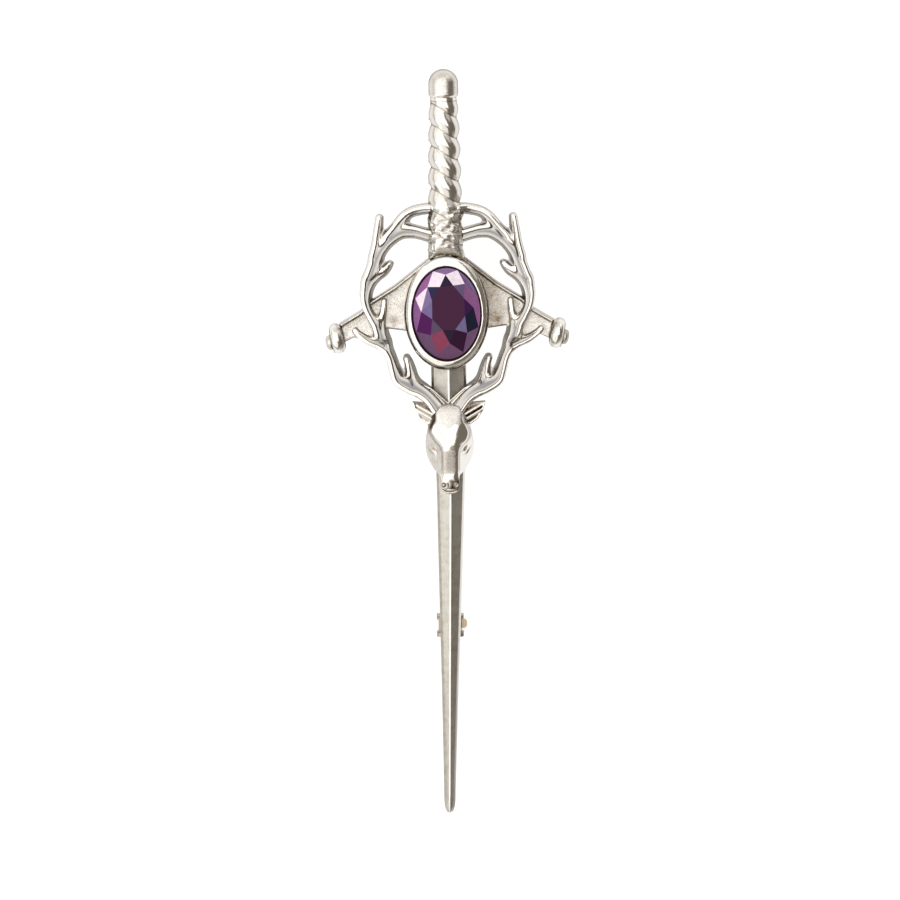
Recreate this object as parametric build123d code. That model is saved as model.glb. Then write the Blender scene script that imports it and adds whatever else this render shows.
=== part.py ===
"""Kilt pin: a sword with a stag's head, two antlers, a bezel with an oval stone, and a
safety pin on its back. Millimetres. X across, Y along the sword towards its pommel, Z up
from the surface on which the pin lies on its back. The origin is in the middle of the
outline, on that surface."""
from build123d import *
import math
import os

# Sword, measured along Y from the middle of the stone
BLADE_LENGTH = 68.7
HILT_LENGTH = 33.3
BLADE_HALF_WIDTH = 2.38
BLADE_THICKNESS = 2.2
BLADE_EDGE = 0.9
BLADE_EDGE_STRIP = 0.34

# Grip and pommel
GRIP_HALF_WIDTH = 2.16
GRIP_SWELL = 0.36
GRIP_AXIS_HEIGHT = 1.8
GRIP_TURNS = 8
GRIP_PITCH = 2.9
GRIP_TURN_SLANT = 28.0
POMMEL_RADIUS = 2.0
POMMEL_LENGTH = 4.0

# Guard
GUARD_HALF_SPAN = 15.1
GUARD_ROOT_HEIGHT = 10.0
GUARD_THICKNESS = 1.7
GUARD_RIM_WIDTH = 0.4
GUARD_RIM_HEIGHT = 0.3
BUTTON_RADIUS = 2.12
BUTTON_THICKNESS = 1.9
BUTTON_DROP = 3.2
BUTTON_SLANT = 13.0
BUTTON_AXIS_HEIGHT = 1.35
KNOB_RADIUS = 0.95
KNOB_REACH = 0.65

# Stone and bezel
STONE_WIDTH = 10.0
STONE_LENGTH = 13.4
STONE_TABLE_SHARE = 0.53
STONE_STAR_SHARE = 0.75
STONE_CROWN = 1.2
STONE_GIRDLE = 0.3
STONE_PAVILION = 2.2
STONE_SIDES = 16
STONE_GAP = 0.05
BEZEL_FLOOR = 0.7
BEZEL_LIP = 0.28
BEZEL_LIP_THICKNESS = 0.35
BEZEL_RIM_SIDE = 1.1
BEZEL_RIM_END = 1.35
BEZEL_BEVEL = 0.8

# Stag's head
HEAD_LENGTH = 12.7
HEAD_HALF_WIDTH = 3.3
HEAD_HEIGHT = 5.0
HEAD_DROP = 12.1
EAR_LENGTH = 4.4
EAR_WIDTH = 2.1
EAR_THICKNESS = 1.5
EYE_RADIUS = 0.55

# Antlers
ANTLER_HALF_SPAN = 11.16
ANTLER_LENGTH = 26.85
ANTLER_GIRTH = 2.05
ANTLER_HEIGHT = 3.3

# Pin, hinge and catch
STEM_DIAMETER = 1.2
STEM_AXIS_HEIGHT = 2.0
STEM_OVERHANG = 3.2
STEM_ROOT_RADIUS = 0.85
STEM_ROOT_MARGIN = 0.4
CLOTH_GAP = 4.4
EYE_WIDTH = 2.0
EYE_OUTER_RADIUS = 1.45
HEEL_REACH = 2.1
HEEL_THICKNESS = 0.96
OPEN_ANGLE = 110.0
RIVET_RADIUS = 0.5
RIVET_HEAD_RADIUS = 0.85
RIVET_HEAD = 0.25
RIVET_CLEARANCE = 0.03
EAR_PLATE = 0.75
EAR_PLATE_LENGTH = 4.4
HINGE_OFFSET = 10.6
CATCH_OFFSET = 43.4
CATCH_LENGTH = 2.9
CATCH_HALF_WIDTH = 1.85
CATCH_PLATE = 0.55
CATCH_CORNER = 0.6
CATCH_NECK = 1.8
SLEEVE_BORE = 0.8
SLEEVE_WALL = 0.42
SLEEVE_COLLAR_RADIUS = 1.62
SLEEVE_RIBS = 14
SLEEVE_RIB_DEPTH = 0.12
TAB_REACH = 2.3
TAB_THICKNESS = 0.5
TAB_LENGTH = 1.3
RUNNING_CLEARANCE = 0.05

# Worked out from the sizes above
STEM_RADIUS = STEM_DIAMETER / 2
BACK = STEM_AXIS_HEIGHT + STEM_RADIUS + CLOTH_GAP
STONE_Y = (BLADE_LENGTH - HILT_LENGTH) / 2
TIP_Y = STONE_Y - BLADE_LENGTH
POMMEL_Y = STONE_Y + HILT_LENGTH
HEAD_Y = STONE_Y - HEAD_DROP
HINGE_Y = STONE_Y + HINGE_OFFSET
CATCH_Y = STONE_Y - CATCH_OFFSET
OPENING_X = STONE_WIDTH / 2 - BEZEL_LIP
OPENING_Y = STONE_LENGTH / 2 - BEZEL_LIP
GIRDLE_Z = BACK + BEZEL_FLOOR + STONE_GAP + STONE_PAVILION
CROWN_SLOPE = STONE_CROWN / (1 - STONE_TABLE_SHARE)
LIP_Z = GIRDLE_Z + STONE_GIRDLE + CROWN_SLOPE * BEZEL_LIP / (STONE_WIDTH / 2) + STONE_GAP
BEZEL_TOP = LIP_Z + BEZEL_LIP_THICKNESS
SUNK = 0.4

# Blade: down is a share of its length, half of its half width, thick of its thickness
BLADE_TABLE = [
    {"down": 0.000, "half": 1.00, "thick": 1.00},
    {"down": 0.175, "half": 0.98, "thick": 1.00},
    {"down": 0.322, "half": 0.81, "thick": 0.92},
    {"down": 0.514, "half": 0.66, "thick": 0.82},
    {"down": 0.753, "half": 0.475, "thick": 0.66},
    {"down": 0.968, "half": 0.345, "thick": 0.52},
    {"down": 0.992, "half": 0.26, "thick": 0.42},
    {"down": 1.000, "half": 0.10, "thick": 0.28},
]

# Guard outline: out is a share of its half span, up of its height at the root
GUARD_UPPER = [(0.00, 0.76), (0.15, 0.76), (0.46, 0.395), (0.68, 0.19), (0.775, 0.05), (0.97, -0.125)]
GUARD_LOWER = [(0.93, -0.395), (0.84, -0.32), (0.70, -0.28), (0.535, -0.20), (0.38, -0.235), (0.00, -0.235)]

# Head: along is a share of its length from the crown to the lips, base and crest are half
# widths at the bottom and at the top as shares of its half width, high of its height
HEAD_TABLE = [
    {"along": 0.00, "base": 0.42, "crest": 0.34, "high": 0.74},
    {"along": 0.10, "base": 0.66, "crest": 0.46, "high": 0.88},
    {"along": 0.30, "base": 0.90, "crest": 0.50, "high": 1.00},
    {"along": 0.47, "base": 1.00, "crest": 0.36, "high": 0.97},
    {"along": 0.62, "base": 0.86, "crest": 0.28, "high": 0.90},
    {"along": 0.76, "base": 0.58, "crest": 0.27, "high": 0.84},
    {"along": 0.90, "base": 0.43, "crest": 0.34, "high": 0.80},
    {"along": 1.00, "base": 0.20, "crest": 0.14, "high": 0.56},
]

# Antlers: out, up, girth and high are shares of the antler's half span, length, girth
# and height; up is measured from its root at the head
ANTLER_BEAM = [
    {"out": 0.07, "up": -0.035, "girth": 1.15, "high": 1.00},
    {"out": 0.21, "up": 0.043, "girth": 0.98, "high": 0.98},
    {"out": 0.33, "up": 0.084, "girth": 1.04, "high": 0.96},
    {"out": 0.47, "up": 0.112, "girth": 1.12, "high": 0.95},
    {"out": 0.592, "up": 0.138, "girth": 0.96, "high": 0.93},
    {"out": 0.648, "up": 0.182, "girth": 0.76, "high": 0.92},
    {"out": 0.695, "up": 0.246, "girth": 0.66, "high": 0.92},
    {"out": 0.75, "up": 0.296, "girth": 0.78, "high": 0.95},
    {"out": 0.80, "up": 0.345, "girth": 1.04, "high": 1.00},
    {"out": 0.85, "up": 0.410, "girth": 0.90, "high": 1.00},
    {"out": 0.93, "up": 0.457, "girth": 0.68, "high": 0.98},
    {"out": 0.99, "up": 0.512, "girth": 0.70, "high": 0.95},
    {"out": 1.00, "up": 0.571, "girth": 0.86, "high": 0.93},
    {"out": 0.966, "up": 0.632, "girth": 0.96, "high": 0.92},
    {"out": 0.905, "up": 0.711, "girth": 0.92, "high": 0.90},
    {"out": 0.835, "up": 0.785, "girth": 0.92, "high": 0.90},
    {"out": 0.71, "up": 0.848, "girth": 0.88, "high": 0.88},
    {"out": 0.565, "up": 0.890, "girth": 0.98, "high": 0.86},
    {"out": 0.435, "up": 0.893, "girth": 0.90, "high": 0.84},
    {"out": 0.313, "up": 0.882, "girth": 0.86, "high": 0.82},
    {"out": 0.08, "up": 0.852, "girth": 0.96, "high": 0.80},
]
ANTLER_TINES = {
    "brow": [
        {"out": 0.42, "up": 0.100, "girth": 0.70, "high": 0.80},
        {"out": 0.440, "up": 0.160, "girth": 0.76, "high": 0.86},
        {"out": 0.475, "up": 0.222, "girth": 0.60, "high": 0.80},
        {"out": 0.506, "up": 0.262, "girth": 0.38, "high": 0.72},
    ],
    "spur": [
        {"out": 0.80, "up": 0.325, "girth": 0.70, "high": 0.80},
        {"out": 0.955, "up": 0.342, "girth": 0.66, "high": 0.88},
        {"out": 1.075, "up": 0.371, "girth": 0.46, "high": 0.82},
        {"out": 1.150, "up": 0.400, "girth": 0.26, "high": 0.74},
    ],
    "inner": [
        {"out": 0.82, "up": 0.400, "girth": 0.60, "high": 0.84},
        {"out": 0.785, "up": 0.477, "girth": 0.56, "high": 0.92},
        {"out": 0.772, "up": 0.523, "girth": 0.38, "high": 0.86},
        {"out": 0.768, "up": 0.548, "girth": 0.24, "high": 0.80},
    ],
    "hook": [
        {"out": 0.965, "up": 0.635, "girth": 0.66, "high": 0.80},
        {"out": 0.800, "up": 0.680, "girth": 0.70, "high": 0.84},
        {"out": 0.728, "up": 0.705, "girth": 0.54, "high": 0.78},
        {"out": 0.684, "up": 0.742, "girth": 0.36, "high": 0.70},
    ],
    "top": [
        {"out": 0.880, "up": 0.760, "girth": 0.66, "high": 0.82},
        {"out": 0.855, "up": 0.851, "girth": 0.60, "high": 0.84},
        {"out": 0.833, "up": 0.912, "girth": 0.60, "high": 0.80},
        {"out": 0.823, "up": 0.968, "girth": 0.40, "high": 0.72},
    ],
    "arch": [
        {"out": 0.690, "up": 0.862, "girth": 0.72, "high": 0.78},
        {"out": 0.545, "up": 0.946, "girth": 0.76, "high": 0.84},
        {"out": 0.430, "up": 0.984, "girth": 0.72, "high": 0.82},
        {"out": 0.305, "up": 0.998, "girth": 0.74, "high": 0.80},
        {"out": 0.080, "up": 1.002, "girth": 0.72, "high": 0.78},
    ],
}
ANTLER_ROOT_Y = HEAD_Y - 0.6


def block(low, high):
    """A box between two corners."""
    size = [b - a for a, b in zip(low, high)]
    middle = [(a + b) / 2 for a, b in zip(low, high)]
    return Pos(*middle) * Box(*size)


def mirrored(solid):
    """The solid's twin on the other side of the sword."""
    return mirror(solid, about=Plane.YZ)


def flat_backed(solid):
    """The solid without what lies behind the casting's flat back."""
    reach = BLADE_LENGTH + HILT_LENGTH
    return solid - block((-reach, -reach, BACK - reach), (reach, reach, BACK))


def blade():
    """A tapering blade with a middle ridge, two flats and a narrow strip at each edge."""
    sections = []
    for row in BLADE_TABLE:
        y = STONE_Y - row["down"] * BLADE_LENGTH
        half = row["half"] * BLADE_HALF_WIDTH
        ridge = BACK + row["thick"] * BLADE_THICKNESS
        edge = BACK + row["thick"] * BLADE_EDGE
        strip = min(BLADE_EDGE_STRIP, half / 3)
        shoulder = edge + (ridge - edge) / 3
        profile = [
            (-half, y, BACK - SUNK),
            (half, y, BACK - SUNK),
            (half, y, edge),
            (half - strip, y, shoulder),
            (0, y, ridge),
            (strip - half, y, shoulder),
            (-half, y, edge),
        ]
        sections.append(Face(Wire.make_polygon(profile)))
    return loft(sections, ruled=True)


def grip():
    """A slim core with slanted turns that swell towards the guard."""
    axis_z = BACK + GRIP_AXIS_HEIGHT
    top_y = POMMEL_Y - POMMEL_LENGTH
    core_length = top_y - STONE_Y
    core = Pos(0, STONE_Y + core_length / 2, axis_z) * Rot(90, 0, 0) * Cylinder(
        0.85 * GRIP_HALF_WIDTH, core_length)
    solid = core
    bulge = 0.5 * GRIP_PITCH * math.cos(math.radians(GRIP_TURN_SLANT))
    sagitta = 0.8 * bulge
    for turn in range(GRIP_TURNS):
        swell = 1 + GRIP_SWELL / GRIP_HALF_WIDTH * max(0, turn - 3) / (GRIP_TURNS - 4)
        reach = GRIP_HALF_WIDTH * swell
        inner = reach - sagitta
        profile = make_face([
            Line((0, -bulge), (inner, -bulge)),
            ThreePointArc((inner, -bulge), (reach, 0), (inner, bulge)),
            Line((inner, bulge), (0, bulge)),
            Line((0, bulge), (0, -bulge)),
        ])
        ring = revolve(profile, axis=Axis.Y)
        y = top_y - (turn + 0.1) * GRIP_PITCH
        solid += Pos(0, y, axis_z) * Rot(0, 0, -GRIP_TURN_SLANT) * ring
    return solid


def domed_rod(radius, shoulder, end):
    """A rod along Y from the origin, with a part of a sphere on its end."""
    rise = end - shoulder
    ball = (radius ** 2 + rise ** 2) / (2 * rise)
    half_angle = math.atan2(radius, ball - rise) / 2
    middle = (ball * math.sin(half_angle), end - ball + ball * math.cos(half_angle))
    profile = make_face([
        Line((0, 0), (radius, 0)),
        Line((radius, 0), (radius, shoulder)),
        ThreePointArc((radius, shoulder), middle, (0, end)),
        Line((0, end), (0, 0)),
    ])
    return revolve(profile, axis=Axis.Y)


def pommel():
    """A short cylinder with a domed end."""
    length = POMMEL_LENGTH + SUNK
    rod = domed_rod(POMMEL_RADIUS, length - 0.85 * POMMEL_RADIUS, length)
    return Pos(0, POMMEL_Y - length, BACK + GRIP_AXIS_HEIGHT) * rod


def guard_arm():
    """One arm of the guard with the raised rim along its upper edge."""
    def place(point):
        return (point[0] * GUARD_HALF_SPAN, STONE_Y + point[1] * GUARD_ROOT_HEIGHT)

    upper = [place(point) for point in GUARD_UPPER]
    lower = [place(point) for point in GUARD_LOWER]
    plate = make_face(Polyline(*upper, *lower, close=True))
    arm = Pos(0, 0, BACK - SUNK) * extrude(plate, GUARD_THICKNESS + SUNK)
    inner = [(x, y - GUARD_RIM_WIDTH * 1.25) for x, y in upper]
    rim = make_face(Polyline(*upper, *reversed(inner), close=True))
    return arm + Pos(0, 0, BACK) * extrude(rim, GUARD_THICKNESS + GUARD_RIM_HEIGHT)


def guard_button():
    """The rounded disc at an arm's end, with a small knob on its outer face."""
    half = BUTTON_THICKNESS / 2
    flat_radius = BUTTON_RADIUS - 0.7 * half
    outer = half + KNOB_REACH
    profile = make_face([
        Line((0, -half), (flat_radius, -half)),
        ThreePointArc((flat_radius, -half), (BUTTON_RADIUS, 0), (flat_radius, half)),
        Line((flat_radius, half), (0, half)),
        Line((0, half), (0, -half)),
    ])
    disc = revolve(profile, axis=Axis.Y)
    disc += domed_rod(KNOB_RADIUS, outer - 0.6 * KNOB_REACH, outer)
    middle = Pos(GUARD_HALF_SPAN, STONE_Y - BUTTON_DROP, BACK + BUTTON_AXIS_HEIGHT)
    return middle * Rot(0, 0, -90 - BUTTON_SLANT) * disc


def oval(half_x, half_y, z):
    """An elliptical face round the stone's middle."""
    return Pos(0, STONE_Y, z) * Ellipse(half_x, half_y)


def bezel():
    """An oval cup with a bevelled rim, a pocket for the stone and a lip over its girdle."""
    outer_x = OPENING_X + BEZEL_RIM_SIDE
    outer_y = OPENING_Y + BEZEL_RIM_END
    wall_top = BACK + 0.5 * (BEZEL_TOP - BACK)
    cup = loft([oval(outer_x, outer_y, BACK - SUNK), oval(outer_x, outer_y, wall_top)], ruled=True)
    crest = [
        (0.0, wall_top),
        (0.35 * BEZEL_BEVEL, wall_top + 0.6 * (BEZEL_TOP - wall_top)),
        (BEZEL_BEVEL, BEZEL_TOP),
    ]
    cup += loft([oval(outer_x - inset, outer_y - inset, z) for inset, z in crest], ruled=True)
    pocket_x = STONE_WIDTH / 2 + STONE_GAP
    pocket_y = STONE_LENGTH / 2 + STONE_GAP
    cup -= loft(
        [oval(pocket_x, pocket_y, BACK + BEZEL_FLOOR), oval(pocket_x, pocket_y, LIP_Z)], ruled=True)
    cup -= loft(
        [oval(OPENING_X, OPENING_Y, LIP_Z - 0.1), oval(OPENING_X + 0.08, OPENING_Y + 0.08, BEZEL_TOP + 0.1)],
        ruled=True)
    return cup


def seat_block():
    """What the bezel's pocket and opening take away from the blade, guard and grip."""
    pocket_x = STONE_WIDTH / 2 + STONE_GAP
    pocket_y = STONE_LENGTH / 2 + STONE_GAP
    inner_z = BACK + BEZEL_FLOOR
    return loft([oval(pocket_x, pocket_y, inner_z), oval(pocket_x, pocket_y, LIP_Z)], ruled=True) + loft(
        [oval(OPENING_X, OPENING_Y, LIP_Z), oval(OPENING_X, OPENING_Y, LIP_Z + HEAD_HEIGHT)], ruled=True)


def stone():
    """An oval brilliant: table, star, main and rim facets over a girdle and a pavilion."""
    half_turn = math.pi / STONE_SIDES
    crown_z = GIRDLE_Z + STONE_GIRDLE
    star_line = STONE_STAR_SHARE * math.cos(2 * half_turn)
    star_z = crown_z + CROWN_SLOPE * (1 - star_line)

    def point(share, step, z):
        angle = 2 * half_turn * step
        return (
            share * STONE_WIDTH / 2 * math.cos(angle),
            STONE_Y + share * STONE_LENGTH / 2 * math.sin(angle),
            z)

    mains = range(1, STONE_SIDES, 2)
    table_z = crown_z + STONE_CROWN
    culet_share = 0.12
    culet_z = GIRDLE_Z - STONE_PAVILION
    faces = [[point(STONE_TABLE_SHARE, step, table_z) for step in mains]]
    faces.append([point(culet_share, step, culet_z) for step in mains])
    for step in mains:
        corner = point(STONE_TABLE_SHARE, step, table_z)
        left = point(STONE_STAR_SHARE, step + 1, star_z)
        right = point(STONE_STAR_SHARE, step - 1, star_z)
        rim = point(1, step, crown_z)
        faces.append([corner, point(STONE_TABLE_SHARE, step + 2, table_z), left])
        faces.append([corner, left, rim, right])
        faces.append([left, point(1, step + 1, crown_z), rim])
        faces.append([right, rim, point(1, step - 1, crown_z)])
        low = point(1, step, GIRDLE_Z)
        for side in (-1, 1):
            faces.append([rim, low, point(1, step + side, GIRDLE_Z), point(1, step + side, crown_z)])
        deep = point(culet_share, step, culet_z)
        next_deep = point(culet_share, step + 2, culet_z)
        between = point(1, step + 1, GIRDLE_Z)
        faces.append([low, between, deep])
        faces.append([between, point(1, step + 2, GIRDLE_Z), next_deep])
        faces.append([deep, between, next_deep])
    return Solid(Shell([Face(Wire.make_polygon(corners)) for corners in faces]))


def rib(rows, foot):
    """A lofted branch with a flat foot, drafted sides and a rounded top."""
    points = [
        Vector(row["out"] * ANTLER_HALF_SPAN, ANTLER_ROOT_Y + row["up"] * ANTLER_LENGTH, 0) for row in rows]
    last = len(points) - 1
    sections = []
    for index, row in enumerate(rows):
        along = (points[min(index + 1, last)] - points[max(index - 1, 0)]).normalized()
        side = Vector(-along.Y, along.X, 0)
        half = row["girth"] * ANTLER_GIRTH / 2
        top = row["high"] * ANTLER_HEIGHT
        shoulder = top - 0.8 * half
        centre = points[index]
        corners = [
            centre + side * half + Vector(0, 0, BACK - foot),
            centre - side * half + Vector(0, 0, BACK - foot),
            centre - side * half * 0.88 + Vector(0, 0, BACK + shoulder),
            centre + side * half * 0.88 + Vector(0, 0, BACK + shoulder),
        ]
        ridge = centre + Vector(0, 0, BACK + top)
        edges = [
            Edge.make_line(corners[0], corners[1]),
            Edge.make_line(corners[1], corners[2]),
            Edge.make_three_point_arc(corners[2], ridge, corners[3]),
            Edge.make_line(corners[3], corners[0]),
        ]
        sections.append(Face(Wire(edges)))
    return loft(sections, ruled=True)


def antler():
    """The right antler: its beam and its tines, fused."""
    branch = rib(ANTLER_BEAM, SUNK)
    for number, rows in enumerate(ANTLER_TINES.values()):
        branch += rib(rows, SUNK + 0.1 * (number + 1))
    return branch


def ear():
    """The right ear: a leaf with a hollow front."""
    leaf = scale(Sphere(1), by=(EAR_LENGTH / 2, EAR_WIDTH / 2, EAR_THICKNESS / 2))
    hollow = scale(Sphere(1), by=(0.36 * EAR_LENGTH, 0.34 * EAR_WIDTH, 0.36 * EAR_THICKNESS))
    leaf -= Pos(0.04 * EAR_LENGTH, 0, 0.42 * EAR_THICKNESS) * hollow
    out = 0.92 * HEAD_HALF_WIDTH + 0.12 * EAR_LENGTH
    return Pos(out, HEAD_Y - 0.11 * HEAD_LENGTH, BACK + 0.62 * HEAD_HEIGHT) * Rot(0, -8, 48) * leaf


def stag_head():
    """Brow, cheeks and muzzle lofted along the blade, with ears, brows, eyes and nostrils."""
    sections = []
    for row in HEAD_TABLE:
        y = HEAD_Y - row["along"] * HEAD_LENGTH
        base = row["base"] * HEAD_HALF_WIDTH
        crest = row["crest"] * HEAD_HALF_WIDTH
        top = row["high"] * HEAD_HEIGHT
        corners = [
            Vector(base, y, BACK - SUNK),
            Vector(-base, y, BACK - SUNK),
            Vector(-base, y, BACK + 0.3 * top),
            Vector(base, y, BACK + 0.3 * top),
        ]
        left = Vector(-crest, y, BACK + 0.93 * top)
        right = Vector(crest, y, BACK + 0.93 * top)
        edges = [
            Edge.make_line(corners[0], corners[1]),
            Edge.make_line(corners[1], corners[2]),
            Edge.make_line(corners[2], left),
            Edge.make_three_point_arc(left, Vector(0, y, BACK + top), right),
            Edge.make_line(right, corners[3]),
            Edge.make_line(corners[3], corners[0]),
        ]
        sections.append(Face(Wire(edges)))
    head = loft(sections)
    brow = Pos(0.56 * HEAD_HALF_WIDTH, HEAD_Y - 0.30 * HEAD_LENGTH, BACK + 0.78 * HEAD_HEIGHT) * scale(
        Sphere(1), by=(0.24 * HEAD_HALF_WIDTH, 0.11 * HEAD_LENGTH, 0.2 * HEAD_HEIGHT))
    eye = Pos(0.66 * HEAD_HALF_WIDTH, HEAD_Y - 0.52 * HEAD_LENGTH, BACK + 0.60 * HEAD_HEIGHT) * Sphere(
        EYE_RADIUS)
    nostril = Pos(0.24 * HEAD_HALF_WIDTH, HEAD_Y - 0.895 * HEAD_LENGTH, BACK + 0.82 * HEAD_HEIGHT) * Sphere(
        0.42 * EYE_RADIUS)
    for feature in (brow, eye, ear()):
        head += feature
        head += mirrored(feature)
    head -= nostril
    head -= mirrored(nostril)
    return head


def hinge_bracket():
    """A bridge under the grip with two plates that hold the rivet, and a stop for the heel."""
    inner = EYE_WIDTH / 2 + RUNNING_CLEARANCE
    outer = inner + EAR_PLATE
    half_length = EAR_PLATE_LENGTH / 2
    bridge_z = STEM_AXIS_HEIGHT + HEEL_REACH + 0.3
    bracket = block((-outer, HINGE_Y - half_length, bridge_z), (outer, HINGE_Y + half_length, BACK + SUNK))
    plate = block((inner, HINGE_Y - half_length, 0), (outer, HINGE_Y + half_length, bridge_z + SUNK))
    foot_edges = plate.edges().filter_by(Axis.X).group_by(Axis.Z)[0]
    plate = fillet(foot_edges, EAR_PLATE_LENGTH / 4)
    bracket += plate
    bracket += mirrored(plate)
    open_way = math.radians(OPEN_ANGLE)
    heel_half = HEEL_THICKNESS / 2
    stop_y = HINGE_Y + HEEL_REACH * math.cos(open_way) - heel_half * math.sin(open_way) - RUNNING_CLEARANCE
    stop_z = STEM_AXIS_HEIGHT + HEEL_REACH * math.sin(open_way) + heel_half * math.cos(open_way) - 0.2
    bracket += block((-inner - 0.1, HINGE_Y - half_length, stop_z), (inner + 0.1, stop_y, bridge_z + SUNK))
    hole = Pos(0, HINGE_Y, STEM_AXIS_HEIGHT) * Rot(0, 90, 0) * Cylinder(
        RIVET_RADIUS + RIVET_CLEARANCE, 2 * outer + 2)
    return bracket - hole


def catch_frame():
    """Two slotted plates joined by a neck to the blade's back, with a bore for the sleeve."""
    half = CATCH_LENGTH / 2
    neck_z = STEM_AXIS_HEIGHT + SLEEVE_COLLAR_RADIUS + 3 * RUNNING_CLEARANCE
    neck = block(
        (-CATCH_NECK / 2, CATCH_Y - half, neck_z), (CATCH_NECK / 2, CATCH_Y + half, BACK + SUNK))
    plate = block(
        (-CATCH_HALF_WIDTH, -CATCH_PLATE / 2, 0), (CATCH_HALF_WIDTH, CATCH_PLATE / 2, neck_z + SUNK))
    plate = fillet(plate.edges().filter_by(Axis.Y), CATCH_CORNER)
    frame = neck
    for side in (-1, 1):
        frame += Pos(0, CATCH_Y + side * (half - CATCH_PLATE / 2), 0) * plate
    bore = Pos(0, CATCH_Y, STEM_AXIS_HEIGHT) * Rot(90, 0, 0) * Cylinder(
        SLEEVE_BORE + SLEEVE_WALL + RUNNING_CLEARANCE, CATCH_LENGTH + 2)
    frame -= bore
    return frame - catch_mouth(CATCH_LENGTH + 2)


def catch_mouth(length):
    """The slot through which the stem leaves, from the stem's axis down."""
    half = STEM_RADIUS + 2 * RUNNING_CLEARANCE
    return block(
        (-half, CATCH_Y - length / 2, -3 * STEM_DIAMETER), (half, CATCH_Y + length / 2, STEM_AXIS_HEIGHT))


def catch_sleeve():
    """A slotted tube with a ribbed collar between the frame's plates, and a thumb tab."""
    collar_length = CATCH_LENGTH - 2 * CATCH_PLATE - 2 * RUNNING_CLEARANCE
    turn = Pos(0, CATCH_Y, STEM_AXIS_HEIGHT) * Rot(90, 0, 0)
    sleeve = turn * Cylinder(SLEEVE_BORE + SLEEVE_WALL, CATCH_LENGTH + 0.5)
    sleeve += turn * Cylinder(SLEEVE_COLLAR_RADIUS, collar_length)
    for index in range(SLEEVE_RIBS):
        angle = 360 * (index + 0.5) / SLEEVE_RIBS
        groove = Rot(0, angle, 0) * Pos(SLEEVE_COLLAR_RADIUS, 0, 0) * Rot(90, 0, 0) * Cylinder(
            SLEEVE_RIB_DEPTH, collar_length + 0.2)
        sleeve -= Pos(0, CATCH_Y, STEM_AXIS_HEIGHT) * groove
    tab_start = SLEEVE_BORE + SLEEVE_WALL / 2
    tab_top = CATCH_Y + collar_length / 2
    tab = block(
        (tab_start, tab_top - TAB_LENGTH, STEM_AXIS_HEIGHT - TAB_THICKNESS / 2),
        (TAB_REACH, tab_top, STEM_AXIS_HEIGHT + TAB_THICKNESS / 2))
    tab_end = tab.edges().filter_by(Axis.Z).group_by(Axis.X)[-1]
    sleeve += fillet(tab_end, 0.4 * TAB_LENGTH)
    sleeve -= turn * Cylinder(SLEEVE_BORE, CATCH_LENGTH + 2)
    return sleeve - catch_mouth(CATCH_LENGTH + 2)


def pin_stem():
    """A round stem with a thick root, a long point, an eye round the rivet and a short heel."""
    tip = CATCH_Y - CATCH_LENGTH / 2 - STEM_OVERHANG
    root_top = HINGE_Y - EYE_OUTER_RADIUS / 2
    root_end = HINGE_Y - EAR_PLATE_LENGTH / 2 - STEM_ROOT_MARGIN
    point_start = CATCH_Y + CATCH_LENGTH / 2 + STEM_ROOT_MARGIN
    outline = [
        (0, root_top),
        (STEM_ROOT_RADIUS, root_top),
        (STEM_ROOT_RADIUS, root_end),
        (STEM_RADIUS, root_end),
        (STEM_RADIUS, point_start),
        (0.8 * STEM_RADIUS, CATCH_Y - CATCH_LENGTH / 2),
        (0.2 * STEM_RADIUS, tip + 0.1 * STEM_OVERHANG),
        (0, tip),
    ]
    stem = Pos(0, 0, STEM_AXIS_HEIGHT) * revolve(make_face(Polyline(*outline, close=True)), axis=Axis.Y)
    across = Pos(0, HINGE_Y, STEM_AXIS_HEIGHT) * Rot(0, 90, 0)
    stem += across * Cylinder(EYE_OUTER_RADIUS, EYE_WIDTH)
    heel_half = HEEL_THICKNESS / 2
    stem += block(
        (-EYE_WIDTH / 2, HINGE_Y, STEM_AXIS_HEIGHT - heel_half),
        (EYE_WIDTH / 2, HINGE_Y + HEEL_REACH, STEM_AXIS_HEIGHT + heel_half))
    return stem - across * Cylinder(RIVET_RADIUS + RIVET_CLEARANCE, EYE_WIDTH + 2)


def hinge_rivet():
    """A rivet with a low head at each end."""
    inner = EYE_WIDTH / 2 + RUNNING_CLEARANCE
    half = inner + EAR_PLATE + RUNNING_CLEARANCE
    rivet = Cylinder(RIVET_RADIUS, 2 * (half + RIVET_HEAD))
    for side in (-1, 1):
        rivet += Pos(0, 0, side * (half + RIVET_HEAD / 2)) * Cylinder(RIVET_HEAD_RADIUS, RIVET_HEAD)
    return Pos(0, HINGE_Y, STEM_AXIS_HEIGHT) * Rot(0, 90, 0) * rivet


def casting():
    """Everything that is cast in one, and the findings that are soldered to its back."""
    body = flat_backed(blade()) + flat_backed(grip()) + flat_backed(pommel())
    for half in (guard_arm(), guard_button(), antler()):
        right = flat_backed(half)
        body += right
        body += mirrored(right)
    body += flat_backed(stag_head())
    body -= seat_block()
    body += flat_backed(bezel())
    body += hinge_bracket()
    body += catch_frame()
    return body


PIECES = {
    "casting": casting,
    "stone": stone,
    "pin_stem": pin_stem,
    "hinge_rivet": hinge_rivet,
    "catch_sleeve": catch_sleeve,
}

os.makedirs("parts", exist_ok=True)
for name, make in PIECES.items():
    solid = make()
    solid.label = name
    export_step(solid, f"parts/{name}.step")
    print(name, round(solid.volume, 2))
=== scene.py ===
"""Looks of the kilt pin: cast silver with polished, satin and blasted surfaces, a faceted
purple stone, and the fastening on its back. Shapes are worked out in millimetres in the
pin's own frame, X across, Y towards the pommel and Z up, and become metres in each mesh."""
import math

import bmesh
import bpy
import numpy as np
from mathutils import Matrix, Vector


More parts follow.
